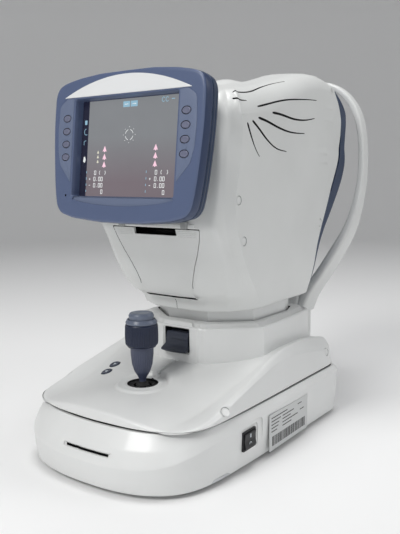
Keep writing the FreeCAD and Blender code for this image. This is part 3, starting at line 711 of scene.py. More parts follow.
switch = prism("power_switch_bezel", rect(-124.4, -98.6, 24.6, 46.4, 1), "x", 121.5, 126.6,
               "black", (2, 3))
boolean(switch, prism("cut", rect(-123.2, -99.8, 25.9, 45.1, 0.5), "x", 115, 130, "black",
                      (2, 3)))
clean(switch)
assign(switch, "root", "black_plastic")
ROCKER = [  # (x, z, radius)
    (119.8, 27.8, 0.4), (126.0, 26.6, 0.8), (128.7, 27.2, 0.8), (127.2, 35.5, 9),
    (128.3, 43.9, 0.8), (126.0, 44.4, 0.6), (119.8, 43.2, 0.4)]
prism("power_rocker_cap", ROCKER, "y", -122.6, -100.4, "black", (3, 4),
      fit=("power_rocker", "black_plastic", "power_rocker"))
on_mark = prism("mark", rect(-112.6, -110.4, 38.2, 43, 0.2), "x", 127.75, 128.1, "mark", (1, 2))
OFF_PLACE = (127.75, -111.5, 31)
off_mark = lathe("mark", rod(2.4, 0, 0.3, 0.1), OFF_PLACE, "mark", 28, "x")
boolean(off_mark, lathe("cut", rod(1.7, -1, 1), OFF_PLACE, "mark", 28, "x"))
join("power_rocker_marks", [on_mark, off_mark], ("power_rocker", "base_white"))

# rating plate: a row of upright bars below plain rules
prism("rating_plate", rect(-72, 22, 7, 50, 1.2), "x", 128.2, 129.1, "plate", (3, 3),
      fit=("root", "silver_trim"))
RULES = [  # (z, y start, y end)
    (45.5, -68, -30), (41.5, -68, -46), (41.5, -42, -14), (37.5, -68, -50), (37.5, -42, -22),
    (33.5, -68, -52), (33.5, -42, -4), (29.5, -68, -55), (29.5, -42, -20), (44.5, -4, 6),
    (36, 2, 12)]


def ink_bar(y, z):
    return box("ink", (129.05, 129.25), y, z, "ink", r=0.05, seg=1)


ink = []
rng = np.random.RandomState(4)
y = -66.0
while y < 14:
    width = float(rng.choice([0.7, 1.1, 1.8]))
    ink.append(ink_bar((y, y + width), (12, 23.5)))
    y += width + float(rng.choice([0.8, 1.3]))
for z, start, end in RULES:
    ink.append(ink_bar((start, end), (z - 0.55, z + 0.55)))
join("rating_plate_bars", ink, ("root", "black_plastic"))

# ------------------------------------------------------------------ stage cover (deck)
JOY_Y = -141          # joystick axis, on x = 0
DECK_N = 260
DECK_HALF = [  # (x, y) of the right half
    (0, -224.4), (24, -223.2), (50, -221.4), (74, -216.6), (91, -210.6), (103, -202.6),
    (111.5, -192.6), (116.8, -179), (119.4, -160), (120.6, -120), (121.4, -40), (121.8, 50)]
DECK_TOP = np.array([  # y, centre z, inner crease x, z, outer crest x, z
    (-240, 75.4, 84, 66.5, 115, 67), (-200, 79.2, 88, 67.8, 115, 68.5),
    (-160, 82.8, 90, 70, 115.5, 75), (-140, 84.6, 92, 74, 115.3, 81.5),
    (-120, 88.5, 95, 79, 115, 87), (-100, 92.3, 97, 85, 115, 91.4),
    (-80, 96, 100, 91, 114, 96.5), (-60, 98, 102, 97, 113, 101.5),
    (-40, 98, 102, 102.5, 112, 106.5), (-20, 98, 101.5, 106.5, 110.5, 109.8),
    (14, 98, 100, 108.5, 108.5, 111.4), (60, 98, 99, 107, 106, 109.5),
    (90, 98, 98, 103.5, 105, 105.5), (112, 97, 97, 100, 105, 101.5),
    (128, 94, 96, 95, 106, 95.5), (150, 90, 95, 88, 106, 88)], float)
DECK_EDGE_R = 4.5
DECK_WALL_Z = 67.8    # foot of the deck's wall
deck_plan = footprint(DECK_HALF, 128, 30, DECK_N)
deck_out = outward(deck_plan)


def creased_deck_z(x, y):
    across = np.abs(x)
    z_mid, x_in, z_in, x_out, z_out = spline(DECK_TOP[:, 0], DECK_TOP[:, 1:], y).T
    dish = z_mid - (z_mid - z_in) * np.clip(across / x_in, 0, 1) ** 2.0
    run = np.maximum(x_out - x_in, 1)
    slope = z_in + (z_out - z_in) * np.clip((across - x_in) / run, 0, 1)
    fall = z_out - (across - x_out) * 1.15
    return np.where(across < x_in, dish, np.where(across < x_out, slope, fall))


def deck_height(x, y):
    """Deck averaged over a small disc, to round its creases, with a joystick seat."""
    samples = [(0, 0, 2.0)] + [(2.6 * math.cos(a), 2.6 * math.sin(a), 1.0)
                               for a in np.arange(0, 2 * math.pi, math.pi / 4)]
    total = 0.0
    for dx, dy, weight in samples:
        total = total + weight * creased_deck_z(x + dx, y + dy)
    height = total / sum(sample[2] for sample in samples)
    r = np.hypot(x, y - JOY_Y)
    seat = 1 - smoothstep(28.5, 32.5, r)
    return height * (1 - seat) + seat * (84.2 + 0.9 * np.exp(-((r - 20.5) / 2.6) ** 2))


def deck_z(x, y):
    return float(deck_height(np.array([x]), np.array([y]))[0])


def deck_rings():
    top = deck_height(*(deck_plan - deck_out * (DECK_EDGE_R + 0.5)).T)
    top = smooth_around(top, 3)
    wall_top = top - DECK_EDGE_R * 0.75
    # turned-in lower lip: (inset, z)
    rings = [at_height(deck_plan - deck_out * inset, z) for inset, z in
             ((7.0, 66.9), (2.2, 66.3), (0.9, 66.4), (0.25, 66.9), (0.0, DECK_WALL_Z))]
    # walls lean in as they rise
    lean = np.clip((top - 68) / 40, 0, 1) * 5.5
    for t in np.linspace(0.12, 1, 9):
        z = DECK_WALL_Z + (wall_top - DECK_WALL_Z) * t
        z = np.maximum(z, DECK_WALL_Z + 0.05 * t)
        rings.append(at_height(deck_plan - deck_out * (lean * t)[:, None], z))
    # rounded edge
    for a in np.linspace(math.pi / 16, math.pi / 2, 8):
        inset = lean + DECK_EDGE_R * (1 - math.cos(a))
        loop = deck_plan - deck_out * inset[:, None]
        blend = math.sin(a)
        rings.append(at_height(loop, wall_top * (1 - blend) + deck_height(*loop.T) * blend))
    # top, in rings that shrink towards a long narrow core
    edge = rings[-1][:, :2]
    for s in np.linspace(0, 1, 74)[1:]:
        loop = shrink(edge, -40.0, 0.02, 0.55, s)
        rings.append(at_height(loop, deck_height(*loop.T)))
    return rings


DECK_BUTTONS = [  # name, x, y, direction of the arrow along y
    ("chin_up_button", -72, -125, 1), ("chin_down_button", -75, -106.7, -1)]
deck = loft("stage_cover_shell", deck_rings(), "white_base", sharp=60)
# the deck's downward-facing lower lip is painted near-black: painted shade in the seam over the
# plinth
paint(deck, "gap", lambda face: face.center.z < 0.0668 and face.normal.z < -0.5)
boolean(deck, lathe("cut", rod(18.0, 0, 40), (0, JOY_Y, 68), "gap", 72))
for name, x, y, _ in DECK_BUTTONS:
    boolean(deck, lathe("cut", rod(7.1, 0, 30), (x, y, deck_z(x, y) - 5), "gap", 40))
clean(deck, sharp=50)
assign(deck, "stage", "base_white", "stage_cover")

BUTTON_PROFILE = [(0, -4, 0), (6.7, -4, 0.3), (6.7, 0.7, 1.0), (5.2, 1.35, 1.5),
                  (3.0, 0.75, 3.0), (0, 0.65, 0)]
for name, x, y, way in DECK_BUTTONS:
    reach = 1.5
    slope_x = (deck_z(x + reach, y) - deck_z(x - reach, y)) / (2 * reach)
    slope_y = (deck_z(x, y + reach) - deck_z(x, y - reach)) / (2 * reach)
    button = lathe(name + "_cap", BUTTON_PROFILE, (0, 0, 0), "button", 48)
    arrow = prism(name + "_arrow", [(-2.6, -1.4 * way, 0.3), (2.6, -1.4 * way, 0.3),
                                    (0, 2.2 * way, 0.3)], "z", 0.70, 1.0, "mark", (2, 3))
    for obj in (button, arrow):
        aim(obj, (x, y, deck_z(x, y)), (-slope_x, -slope_y, 1))
    assign(button, name, "joystick_navy", name)
    assign(arrow, name, "base_white")

# ------------------------------------------------------------------ pedestal
PEDESTAL_HALF = [  # (x, y, radius) of the right half
    (0, -76.0, 200), (29.0, -75.6, 3.0), (31.2, -73.4, 2.0), (35.5, -72.6, 1.6),
    (40.8, -72.6, 4.0), (94.7, -26, 2.0), (92.6, 60, 30), (88.5, 104, 12), (76, 114, 8)]
PEDESTAL_PROFILE = [  # (inset, z, radius)
    (1.0, 88, 0), (0.0, 100, 8), (0.0, 137.6, 1.5), (1.1, 139.6, 1.4), (3.4, 140.0, 1.0),
    (5.0, 138.4, 1.2), (6.6, 138.2, 2.0), (10.5, 143.2, 3.5), (18, 144.0, 0)]
PEDESTAL_WELL = [  # (x, y, radius) of the opening in the top, right half
    (31, -54.5, 2), (76.8, -17.5, 2), (78.4, 61, 2), (70, 87, 2)]


def pedestal_rings():
    plan = rounded(mirrored(PEDESTAL_HALF), 7, 6)[::-1]
    out = outward(plan)
    x, y = plan.T
    inward = unit(np.column_stack([np.clip(x * 0.3, -26, 26), np.clip(y, -18, 78)]) - plan)
    rings = []
    for inset, z in rounded(PEDESTAL_PROFILE, 4, 5, closed=False):
        flare = -(140 - z) * 0.012 if z < 140 else 0
        blend = float(smoothstep(1.5, 6.5, inset))
        way = unit(-out * (1 - blend) + inward * blend)
        loop = smooth_loop(plan, int(blend * 4)) if blend > 0.3 else plan
        rings.append(at_height(loop + way * (inset + flare), z))
    return rings


pedestal = loft("pedestal_shell", pedestal_rings(), "white_base", sharp=45)
boolean(pedestal, prism("cut", rect(-18.6, 18.6, 107.5, 137.0, 2), "y", -90, -60, "black",
                        (3, 4)))
boolean(pedestal, prism("cut", rect(-20.4, 20.4, 106, 138, 2.5), "y", -90, -74.6,
                        "white_base", (3, 5)))
boolean(pedestal, prism("cut", mirrored(PEDESTAL_WELL), "z", 94, 152, "gap", (3, 4)))
clean(pedestal, sharp=42)
assign(pedestal, "stage", "base_white", "pedestal_cover")
# raised tab above the lever
tab = prism("pedestal_tab", [(-23, 0, 3), (-20.5, 7.4, 3), (20.5, 7.4, 3), (23, 0, 3)],
            "y", 0, 8, "white_base", (4, 5))
tab.data.transform(Matrix.Translation(Vector((0, -73.4, 137.2)) * MM)
                   @ Matrix.Rotation(math.radians(-14), 4, "X"))
assign(tab, "stage", "base_white")

# lock lever: a paddle with a flared lip
LEVER_HALF_WIDTH = 16.6
LEVER_PROFILE = [  # (y, z, radius)
    (-67.5, 123, 1), (-68.9, 129.8, 1.2), (-71.6, 131.6, 1.4), (-73.8, 130.2, 1.2),
    (-74.8, 126.4, 5), (-76.3, 124.3, 2.0), (-75.4, 121.5, 2.0), (-76.4, 116, 5),
    (-80.5, 113.6, 2.0), (-84.0, 111.2, 1.6), (-83.2, 108.6, 1.2), (-78, 109.0, 2.5),
    (-73.8, 112.5, 3), (-71.5, 121, 3)]
lever = prism("lock_lever_paddle", LEVER_PROFILE, "x", -LEVER_HALF_WIDTH, LEVER_HALF_WIDTH,
              "lever", (3, 5), steps=8)
# the lip is wider than the blade and bows outwards
verts = get_verts(lever)
lip = smoothstep(119, 110, verts[:, 2])
bow = 1 - (verts[:, 0] / LEVER_HALF_WIDTH) ** 2
verts[:, 0] *= 1 + 0.10 * lip
verts[:, 1] -= lip * 1.6 * bow * (verts[:, 1] < -74)
verts[:, 2] -= lip * 0.6 * bow
set_verts(lever, verts)
shade(lever, 40)
assign(lever, "lock_lever", "lever_slate", "lock_lever")
lathe("lock_lever_hub", rod(4, -16.5, 16.5, 0.4), (0, -62, 128), "lever", 32, "x",
      fit=("lock_lever", "lever_slate"))

# ------------------------------------------------------------------ joystick
GRIP_PROFILE = [  # (radius, z, corner radius): stem, cone, narrow core, cap
    (0, 74, 0), (3.6, 74, 0.3), (3.9, 89, 3), (5.2, 92.5, 4), (8.8, 98.5, 12),
    (11.7, 108, 22), (12.9, 119, 30), (13.3, 127.4, 2), (16.2, 128.2, 1.0),
    (16.8, 129.4, 0.6), (10, 129.7, 0.3), (10.0, 155.2, 0.2), (18.0, 155.4, 0.5),
    (18.2, 157.0, 0.6), (16.2, 160.6, 0.9), (15.1, 160.7, 0.3), (15.0, 158.4, 0.2),
    (0, 158.4, 0)]
KNURL_PROFILE = [
    (10.1, 129.9, 0.2), (17.2, 129.9, 1.0), (18.5, 131.4, 1.2), (18.9, 142, 60),
    (18.5, 153.8, 1.2), (17.5, 155.1, 0.6), (10.1, 155.1, 0.2)]
START_PROFILE = [
    (0, 160.1, 0), (14.3, 160.1, 0.3), (14.5, 164.6, 1.6), (13.2, 167.4, 1.8),
    (9.8, 168.0, 2.5), (6.0, 167.35, 4), (0, 167.2, 0)]
SLEEVE_PROFILE = [
    (10.6, 80.95, 0.3), (10.6, 82.6, 0.5), (12.2, 83.0, 0.7), (13.4, 81.7, 0.5),
    (14.8, 82.9, 0.6), (16.2, 81.7, 0.5), (17.6, 82.3, 0.3), (17.6, 80.95, 0.3)]
SKIRT_PROFILE = [
    (3.5, 87.2, 0.3), (4.3, 87.0, 0.5), (5.3, 84.9, 0.7), (6.6, 84.7, 0.6), (7.7, 83.2, 0.5),
    (8.2, 82.7, 0.3), (8.0, 82.2, 0.2), (7.2, 82.6, 0.4), (5.9, 84.0, 0.6), (4.6, 84.1, 0.6),
    (3.5, 86.0, 0.3)]
JOY_CENTRE = (0, JOY_Y, 0)

grip = lathe("joystick_grip_cone", GRIP_PROFILE, JOY_CENTRE, "cone", 120, sharp=50)
verts = get_verts(grip)
radius = np.hypot(verts[:, 0], verts[:, 1] - JOY_Y)
angle = np.arctan2(verts[:, 1] - JOY_Y, verts[:, 0])
# thirty shallow flutes on the cone
fluted = smoothstep(94, 102, verts[:, 2]) * (1 - smoothstep(125, 127, verts[:, 2]))
radius = radius + 0.22 * fluted * np.cos(angle * 30)
verts[:, 0] = radius * np.cos(angle)
verts[:, 1] = JOY_Y + radius * np.sin(angle)
set_verts(grip, verts)
paint(grip, "cap", lambda face: face.center.z > 0.1551)
shade(grip, 40)
assign(grip, "joystick", "joystick_navy", "joystick_stick")


def knurl_rings():
    """Ring with sixty upright ribs on its outer face."""
    angles = np.linspace(0, 2 * math.pi, 480, endpoint=False)
    rings = []
    for r, z in rounded(KNURL_PROFILE, 7, 4, closed=False):
        ribbed = smoothstep(131.0, 132.6, z) * (1 - smoothstep(152.2, 153.8, z)) * (r > 16)
        radii = r + ribbed * np.cos(angles * 60) * 0.28
        loop = np.stack([radii * np.cos(angles), JOY_Y + radii * np.sin(angles)], 1)
        rings.append(at_height(loop, z))
    return rings


ring_solid("joystick_knurled_ring", knurl_rings(), "ring",
           ("joystick_ring", "joystick_navy", "joystick_ring"), 40)
lathe("start_button_cap", START_PROFILE, JOY_CENTRE, "cap", 96, sharp=45,
      fit=("start_button", "joystick_navy", "start_button"))
# pleated sleeve in the deck's hole, and a soft skirt on the stick that closes its middle
for name, profile, fit in (
        ("joystick_sleeve", SLEEVE_PROFILE, ("stage", "rubber", "joystick_boot")),
        ("joystick_skirt", SKIRT_PROFILE, ("joystick", "rubber"))):
    rings = revolve(rounded(profile, 2, 4), 72) + np.array(JOY_CENTRE)
    ring_solid(name, rings, "rubber", fit, 60)

# ------------------------------------------------------------------ measuring head
# z | y of the front face | x of its edge | corner x, y | flank x, y | side plane x, y |
# y of the shell's rear edge | length of the bend before that edge | y of the rear corner |
# rear bow
HEAD = np.array([
    [158, -72.5, 33, 63.0, -55, 74.0, -38, 83.0, -15, 108, 6, 115.0, 4],
    [168, -73.5, 38, 65.5, -58, 77.0, -42, 86.0, -20, 108, 6, 115.5, 4],
    [174, -77.0, 41, 67.5, -62, 79.0, -46, 88.0, -26, 108, 6, 116.0, 4],
    [178.5, -86.5, 43, 71.0, -68, 81.0, -50, 89.5, -31, 108, 6, 116.5, 4],
    [184, -90.8, 45, 74.0, -73, 83.0, -54, 91.0, -37, 108, 6, 117.0, 4],
    [205, -97.5, 50, 82.5, -83, 88.0, -68, 95.0, -58, 109.5, 7, 120.0, 4],
    [225, -103.5, 54.6, 84.8, -94, 89.2, -80, 96.4, -72, 113.5, 8, 128.0, 4],
    [248, -110.5, 60, 85.2, -105, 89.4, -91, 97.0, -83, 123.5, 9, 143.0, 4],
    [267, -115.3, 64, 84.5, -115.5, 89.5, -101, 97.0, -89.5, 134.5, 10, 160.0, 4],
    [285, -113.2, 65.4, 84.5, -112.4, 89.8, -103, 97.1, -92.0, 144.5, 11, 175.0, 4],
    [300, -111.0, 66, 84.5, -110, 90.0, -103, 97.2, -91.6, 152.0, 13, 187.0, 4],
    [316, -109.0, 66, 84.5, -108, 90.0, -102.5, 97.4, -88.0, 161.5, 19, 197.5, 4],
    [333, -107.2, 66, 84.5, -106.2, 89.8, -100.5, 97.5, -83.8, 171.0, 34, 205.0, 3],
    [345, -106.2, 66, 84.5, -105.2, 89.2, -98, 96.9, -79.5, 176.5, 39, 207.5, 1.5],
    [357, -105.2, 66, 84.5, -104, 88.4, -94.5, 95.6, -76.4, 180.0, 42, 208.5, 0.5],
    [372, -103.6, 66, 84.5, -102.4, 88.0, -88.5, 96.2, -76.0, 182.5, 38, 208.5, 0.5],
    [391, -101.0, 66, 84.5, -100, 88.8, -84.5, 97.1, -80.6, 182.5, 30, 208.5, 0.5],
    [405, -98.4, 66, 84.3, -97.4, 89.2, -88, 96.8, -83.6, 179.0, 24, 208.0, 0.8],
    [415, -96.0, 66, 84.0, -95, 89.2, -89, 96.4, -84.6, 174.5, 18, 207.0, 1],
    [430, -92.0, 65, 83.5, -91, 89.0, -86, 95.8, -81.6, 163.5, 12, 204.5, 1],
    [445, -88.0, 64, 83.0, -87, 88.6, -82, 95.4, -78, 152.0, 9, 201.0, 1],
    [460, -84.0, 63, 82.0, -83, 88.0, -78, 95.0, -74, 138.0, 6, 197.0, 1]], float)
HEAD_EDGE = 9         # column of the shell's rear edge
HEAD_LOW, HEAD_HIGH = 158, 460
HEAD_TOP = np.array([  # (y, z) of the roof along the middle
    (-125, 394), (-104, 407), (-80, 416.5), (-60, 421.0), (-40, 424.4), (-20, 427.8),
    (0, 431.8), (20, 436.2), (40, 440.8), (60, 446.0), (80, 450.8), (100, 453.4),
    (120, 452.8), (140, 448.2), (155, 443.0), (165, 438.8), (175, 433.4), (190, 423.5),
    (200, 414.5), (212, 401)], float)


def head_section(z):
    """Corners of the head's outline at height z."""
    (y_front, x_face, x_corner, y_corner, x_flank, y_flank, x_side, y_side, y_edge, bend,
     y_rear, bow) = spline(HEAD[:, 0], HEAD[:, 1:], np.array([z]))[0]
    return mirrored([
        (0, y_front - 1.2, 250), (x_face, y_front, 34), (x_corner, y_corner, 13),
        (x_flank, y_flank, 16), (x_side, y_side, 1.4), (x_side, y_edge - bend, 2.0),
        (x_side - 1.5, y_edge + 2, 20), (x_side - 2.2, y_rear, 7.5),
        (x_side * 0.60, y_rear + bow * 0.8, 60), (0, y_rear + bow, 250)])


sections = np.array([rounded(head_section(z), 7, 6)[::-1]
                     for z in np.linspace(HEAD_LOW, HEAD_HIGH, 160)])
HEAD_N = sections.shape[1]


def head_at(heights):
    """One loop whose points each sit at their own height."""
    level = np.clip((heights - HEAD_LOW) / (HEAD_HIGH - HEAD_LOW) * 159, 0, 158.999)
    i = level.astype(int)
    t = (level - i)[:, None]
    k = np.arange(HEAD_N)
    return sections[i, k] * (1 - t) + sections[i + 1, k] * t


def roof_z(x, y):
    """Roof: falls off to the sides, with a shallow channel along the middle."""
    crown = (5.0 - 2.6 * smoothstep(90, 160, y)) * (np.abs(x) / 97.0) ** 2.2
    channel = (6.2 * (1 - smoothstep(15, 39, np.abs(x))) * smoothstep(0, 50, y)
               * (1 - smoothstep(108, 152, y)))
    return spline(HEAD_TOP[:, 0], HEAD_TOP[:, 1], y) - crown - channel


def head_solid(name, inset, z_low=160.0, mat="white"):
    """The whole head as one solid, drawn in by inset."""
    # height where each point of the wall turns into the roof's rounded edge
    wall_top = np.full(HEAD_N, 415.0)
    for _ in range(12):
        loop = head_at(wall_top)
        sideways = np.clip(np.abs(outward(loop)[:, 0]), 0, 1) ** 2
        radius = (13 * (1 - sideways)
                  + (30 - 25 * smoothstep(120, 163, loop[:, 1])) * sideways)
        radius = smooth_around(radius, 14)
        wall_top = 0.6 * wall_top + 0.4 * (roof_z(*loop.T) - radius)
    wall_top = smooth_around(wall_top, 5)
    rings = []
    # turned-in lower edge: (inset, rise)
    for step_in, rise in ((9.0, 0.6), (4.5, 0.0), (1.5, 0.2), (0.4, 1.0)):
        loop = head_at(np.full(HEAD_N, z_low + rise))
        rings.append(at_height(loop - outward(loop) * (step_in + inset), z_low + rise))
    for t in np.r_[np.linspace(0.012, 0.11, 10), np.linspace(0.125, 1, 60)]:
        z = z_low + (wall_top - z_low) * t
        loop = head_at(z)
        rings.append(at_height(loop - outward(loop) * inset, z))
    # rounded edge of the roof
    rim = head_at(wall_top)
    core = np.column_stack([np.clip(rim[:, 0] * 0.45, -42, 42), np.clip(rim[:, 1], -35, 150)])
    inward = unit(smooth_loop(unit(core - rim), 6))
    for k, a in enumerate(np.linspace(math.pi / 26, math.pi / 2, 13)):
        reach = radius * (1 - math.cos(a)) + inset
        loop = smooth_loop(rim, 1 + k) + inward * reach[:, None]
        z = roof_z(*loop.T) - radius * (1 - math.sin(a)) - inset * math.sin(a)
        rings.append(at_height(loop, np.maximum(z, wall_top + 0.01)))
    edge = rings[-1][:, :2]
    for s in np.linspace(0, 1, 46)[1:]:
        loop = shrink(edge, 60.0, 0.02, 0.40, s)
        rings.append(at_height(loop, roof_z(*loop.T) - inset))
    return loft(name, rings, mat, sharp=60)


def block_behind(shift):
    """Block that fills everything behind the shell's rear edge, moved by shift along y."""
    z = np.linspace(150, 470, 90)
    y = spline(np.r_[150.0, HEAD[:, 0], 470.0], np.r_[108.0, HEAD[:, HEAD_EDGE], 130.0], z)
    side = list(zip(y + shift, z)) + [(300, 470), (300, 150)]
    n = len(side)
    verts = [(x, *point) for x in (-160, 160) for point in side]
    faces = [tuple(range(n)), tuple(range(n, 2 * n))[::-1]] + grid_faces(2, n)
    return add_object("cut", verts, faces, "white_in_shade")


shell = head_solid("head_full", 0.0)

# patient-side cover, slightly inset behind the shell's edge
WINDOW_Z = 384
cover = head_solid("patient_cover_shell", 1.1, 160.6, "navy")
boolean(cover, block_behind(-1.0), "INTERSECT")
for face in cover.data.polygons:
    face.material_index = 0
boolean(cover, lathe("cut", rod(32.5, 0, 40), (0, 181.9, WINDOW_Z), "black", 72, "y"))
clean(cover, sharp=40)
assign(cover, "head", "navy_cover", "patient_cover")

WINDOW_RING = [  # (radius, y from the cover's face, corner radius)
    (36.5, -1.4, 0.4), (36.0, 1.6, 1.4), (33.5, 2.0, 1.0), (29.0, -6.0, 3.0),
    (26.8, -20.0, 3.0), (26.4, -25.4, 0.5), (31.5, -25.4, 0.6), (32.2, -12.0, 0.6),
    (32.3, -1.6, 0.5)]
rings = revolve(rounded(WINDOW_RING, 3, 4), 96)[..., [0, 2, 1]] + np.array([0, 207.7, WINDOW_Z])
ring_solid("window_bezel", rings, "black", ("head", "black_plastic"), 45)
lathe("measuring_window_glass",
      [(0, 182.05, 0), (26.0, 182.05, 0.3), (26.0, 183.6, 0.4), (14, 184.0, 40),
       (0, 184.1, 0)], (0, 0, WINDOW_Z), "glass", 72, "y",
      fit=("head", "lens_glass", "measuring_window"))

# white shell, with the printer's opening and the paper bay behind it
# the cut rear edge takes the darker grey: painted shade
boolean(shell, block_behind(0.0))
OPENING = [  # (x, z, radius) of the right half
    (64.4, 262.8, 1.5), (61.6, 250, 60), (54.9, 233, 60), (48.6, 220, 60), (43.0, 206, 30),
    (39.6, 195.5, 10), (39.8, 187.5, 6), (44.6, 177.6, 1.0)]
PAPER_BAY = [(38, 176, 2), (37, 196, 8), (59.5, 261, 2)]


def cover_corner(x, z, r):
    """Corner of the opening drawn in by the gap round the printer cover."""
    gap_z = 1.1 if z > 260 else -1.6 if z < 180 else 0
    return x - (0.85 if z > 180 else 1.2), z - gap_z, r


printer = head_solid("printer_cover_shell", 0.0)
boolean(shell, prism("cut", mirrored(OPENING), "y", -140, -94, "gap", (5, 6)))
boolean(shell, prism("cut", mirrored(PAPER_BAY), "y", -100, -44, "gap", (3, 3)))
boolean(printer, prism("cut", mirrored([cover_corner(*row) for row in OPENING]), "y",
                       -140, -66, "white", (5, 6)), "INTERSECT")
boolean(printer, head_solid("head_inset", 3.2))
boolean(printer, prism("cut", mirrored([(31.2, 254.2, 1.2), (30.2, 270, 1)]), "y",
                       -140, -80, "white", (3, 4)))
clean(printer, sharp=42)
assign(printer, "printer_cover", "body_white", "printer_cover")


def head_front_y(x, z):
    """y of the head's front surface at x, z."""
    loop = head_at(np.full(HEAD_N, float(z)))
    front = loop[loop[:, 1] < 20]
    order = np.argsort(front[:, 0])
    return float(np.interp(x, front[order, 0], front[order, 1]))


def grip_dots():
    """Two fields of small domes on the upper corners of the printer cover."""
    verts, faces = [], []
    for side, _ in SIDES:
        for i in range(14):
            for k in range(4):
                x = side * (33.5 + i * 2.0 + (k % 2) * 1.0)
                z = 253.2 + k * 2.1
                if abs(x) > 60.5 - (262 - z) * 0.3:
                    continue
                y = head_front_y(x, z)
                first = len(verts)
                for r, out in ((0.62, -0.2), (0.55, 0.22), (0.28, 0.42)):
                    for a in np.arange(8) * math.pi / 4:
                        verts.append((x + r * math.cos(a), y - out, z + r * math.sin(a)))
                verts.append((x, y - 0.46, z))
                verts.append((x, y + 0.3, z))
                faces += [tuple(first + v for v in face) for face in grid_faces(3, 8)]
                for j in range(8):
                    after = (j + 1) % 8
                    faces.append((first + 16 + j, first + 16 + after, first + 24))
                    faces.append((first + after, first + j, first + 25))
    add_object("cover_grip_dots", verts, faces, "white", ("printer_cover", "body_white"), 60)


grip_dots()
# the hinge barrel is in the darker grey: painted shade
lathe("cover_hinge_barrel", rod(2.4, -21, 21, 0.3), (0, -86, 181), "white_in_shade", 28, "x",
      fit=("printer_cover", "body_white"))

# vents: paths (x, y, z) from the blunt nose to the fine tail, right side
THIN_VENTS = [
    [(83.2, -76.9, 411.0), (85.6, -64.3, 411.9), (86.2, -48.3, 413.3), (83.2, -28.1, 418.6),
     (80.6, -7.9, 424.0), (79.9, 17.0, 429.8), (82.9, 41.5, 434.3)],
    [(86.2, -81.5, 404.1), (92.1, -76.6, 403.0), (92.5, -62.8, 403.0)],
    [(95.8, -44.7, 397.5), (95.8, -24.6, 401.2), (95.7, -1.1, 406.3), (96.2, 27.5, 410.8),
     (96.5, 58.1, 413.1), (96.4, 80.2, 414.8), (96.4, 103.1, 415.3)]]
WIDE_VENTS = [
    [(97.1, -12.9, 392.8), (97.0, 1.4, 392.6), (97.1, 21.1, 390.3), (97.0, 41.8, 387.8),
     (97.0, 65.9, 387.9), (97.1, 85.2, 390.2), (97.1, 96.6, 392.1)],
    [(96.9, -44.4, 385.4), (96.8, -26.2, 383.0), (96.5, -7.1, 378.3), (96.3, 12.7, 374.6),
     (96.2, 33.2, 371.9), (96.2, 54.3, 371.5), (96.2, 70.6, 372.1)],
    [(96.7, -57.0, 381.4), (96.3, -43.3, 374.4), (95.9, -29.0, 364.9), (95.6, -14.7, 357.4),
     (96.2, 1.1, 350.8), (96.5, 22.9, 348.8)],
    [(96.6, -67.4, 378.7), (96.0, -60.0, 367.1), (95.8, -51.2, 354.2), (96.8, -46.2, 345.4),
     (97.1, -42.2, 342.1)]]


def vent_cutter(path, tree, half_width, depth, side):
    """Blunt-nosed slot that follows the surface and tapers to a fine tail."""
    path = np.asarray(path, float) * [side, 1, 1]
    s = arc_lengths(path)
    shares = np.linspace(0, 1, 26)
    path = spline(s, path, shares * s[-1])
    smooth_path(path, 4)
    points, normals = [], []
    for p in path:
        location, normal, _, _ = tree.find_nearest(Vector(p) * MM)
        points.append(np.array(location) / MM)
        normals.append(np.array(normal))
    points, normals = np.array(points), np.array(normals)
    smooth_path(normals, 8)
    smooth_path(points, 8, weight=0.2)
    normals = unit(normals)
    across = unit(np.cross(unit(np.gradient(points, axis=0)), normals))
    rings = []
    for t, point, normal, sideways in zip(shares, points, normals, across):
        half = half_width * min(1.0, 0.55 + 11 * t) * (1 - 0.80 * t ** 1.7)
        deep = depth * min(1.0, 0.6 + 8 * t) * (1 - 0.72 * t ** 2.2)
        profile = mirrored([(half * 1.5, 2.5), (half + 0.25, 0.0), (half, -0.4),
                            (half * 0.9, -deep)])
        rings.append([point + sideways * a + normal * b for a, b in profile])
    return loft("vent", rings, "gap", sharp=30)


shell_tree = surface_tree(shell)
for side, _ in SIDES:
    for paths, half_width, depth in ((THIN_VENTS, 0.85, 3.0), (WIDE_VENTS, 1.2, 3.8)):
        for path in paths:
            boolean(shell, vent_cutter(path, shell_tree, half_width, depth, side))


# ------------------------------------------------------------------ plugs, shell halves
def set_plug(name, obj, y, z, side, r, body):
    """Round plug let into a flank, seated in a shallow counterbore on the real surface."""
    origin = Vector((side * 160, y, z)) * MM
    location, normal, _, _ = surface_tree(obj).ray_cast(origin, Vector((-side, 0, 0)))
    point = np.array(location) / MM
    # the counterbore's walls take the darker grey: painted shade
    bore = lathe("cut", [(0, -1.5, 0), (r + 0.55, -1.5, 0.2), (r + 0.95, 2.5, 0),
                         (0, 2.5, 0)], (0, 0, 0), "white_in_shade", 40)
    aim(bore, point, normal)
    boolean(obj, bore)
    plug = lathe(name, [(0, -1.2, 0), (r, -1.2, 0.2), (r, 0.15, 0.35), (r - 0.9, 0.15, 0.2),
                        (r - 1.2, -0.25, 0.2), (0, -0.25, 0)], (0, 0, 0), "white_base", 36)
    aim(plug, point - np.array(normal) * 0.35, normal)
    assign(plug, body, "base_white")
    return plug


HEAD_PLUGS = ((-86, 294), (-75, 248), (118, 256))     # (y, z)
for side, letter in SIDES:
    for i, (y, z) in enumerate(HEAD_PLUGS):
        set_plug("head_plug_%s_%d" % (letter, i), shell, y, z, side, 4.6,
                                   "head")
    set_plug("deck_plug_f_" + letter, deck, -146, 75.5, side, 5.0, "stage")
    set_plug("deck_plug_b_" + letter, deck, 98, 85, side, 4.6, "stage")
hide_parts("screw_caps")


def half_space(x0, x1):
    verts = [(x, y, z) for x in (x0, x1) for y in (-200, 300) for z in (100, 500)]
    faces = [(0, 1, 3, 2), (4, 6, 7, 5), (0, 4, 5, 1), (2, 3, 7, 6), (0, 2, 6, 4),
             (1, 5, 7, 3)]
    return add_object("cut", verts, faces, "white")


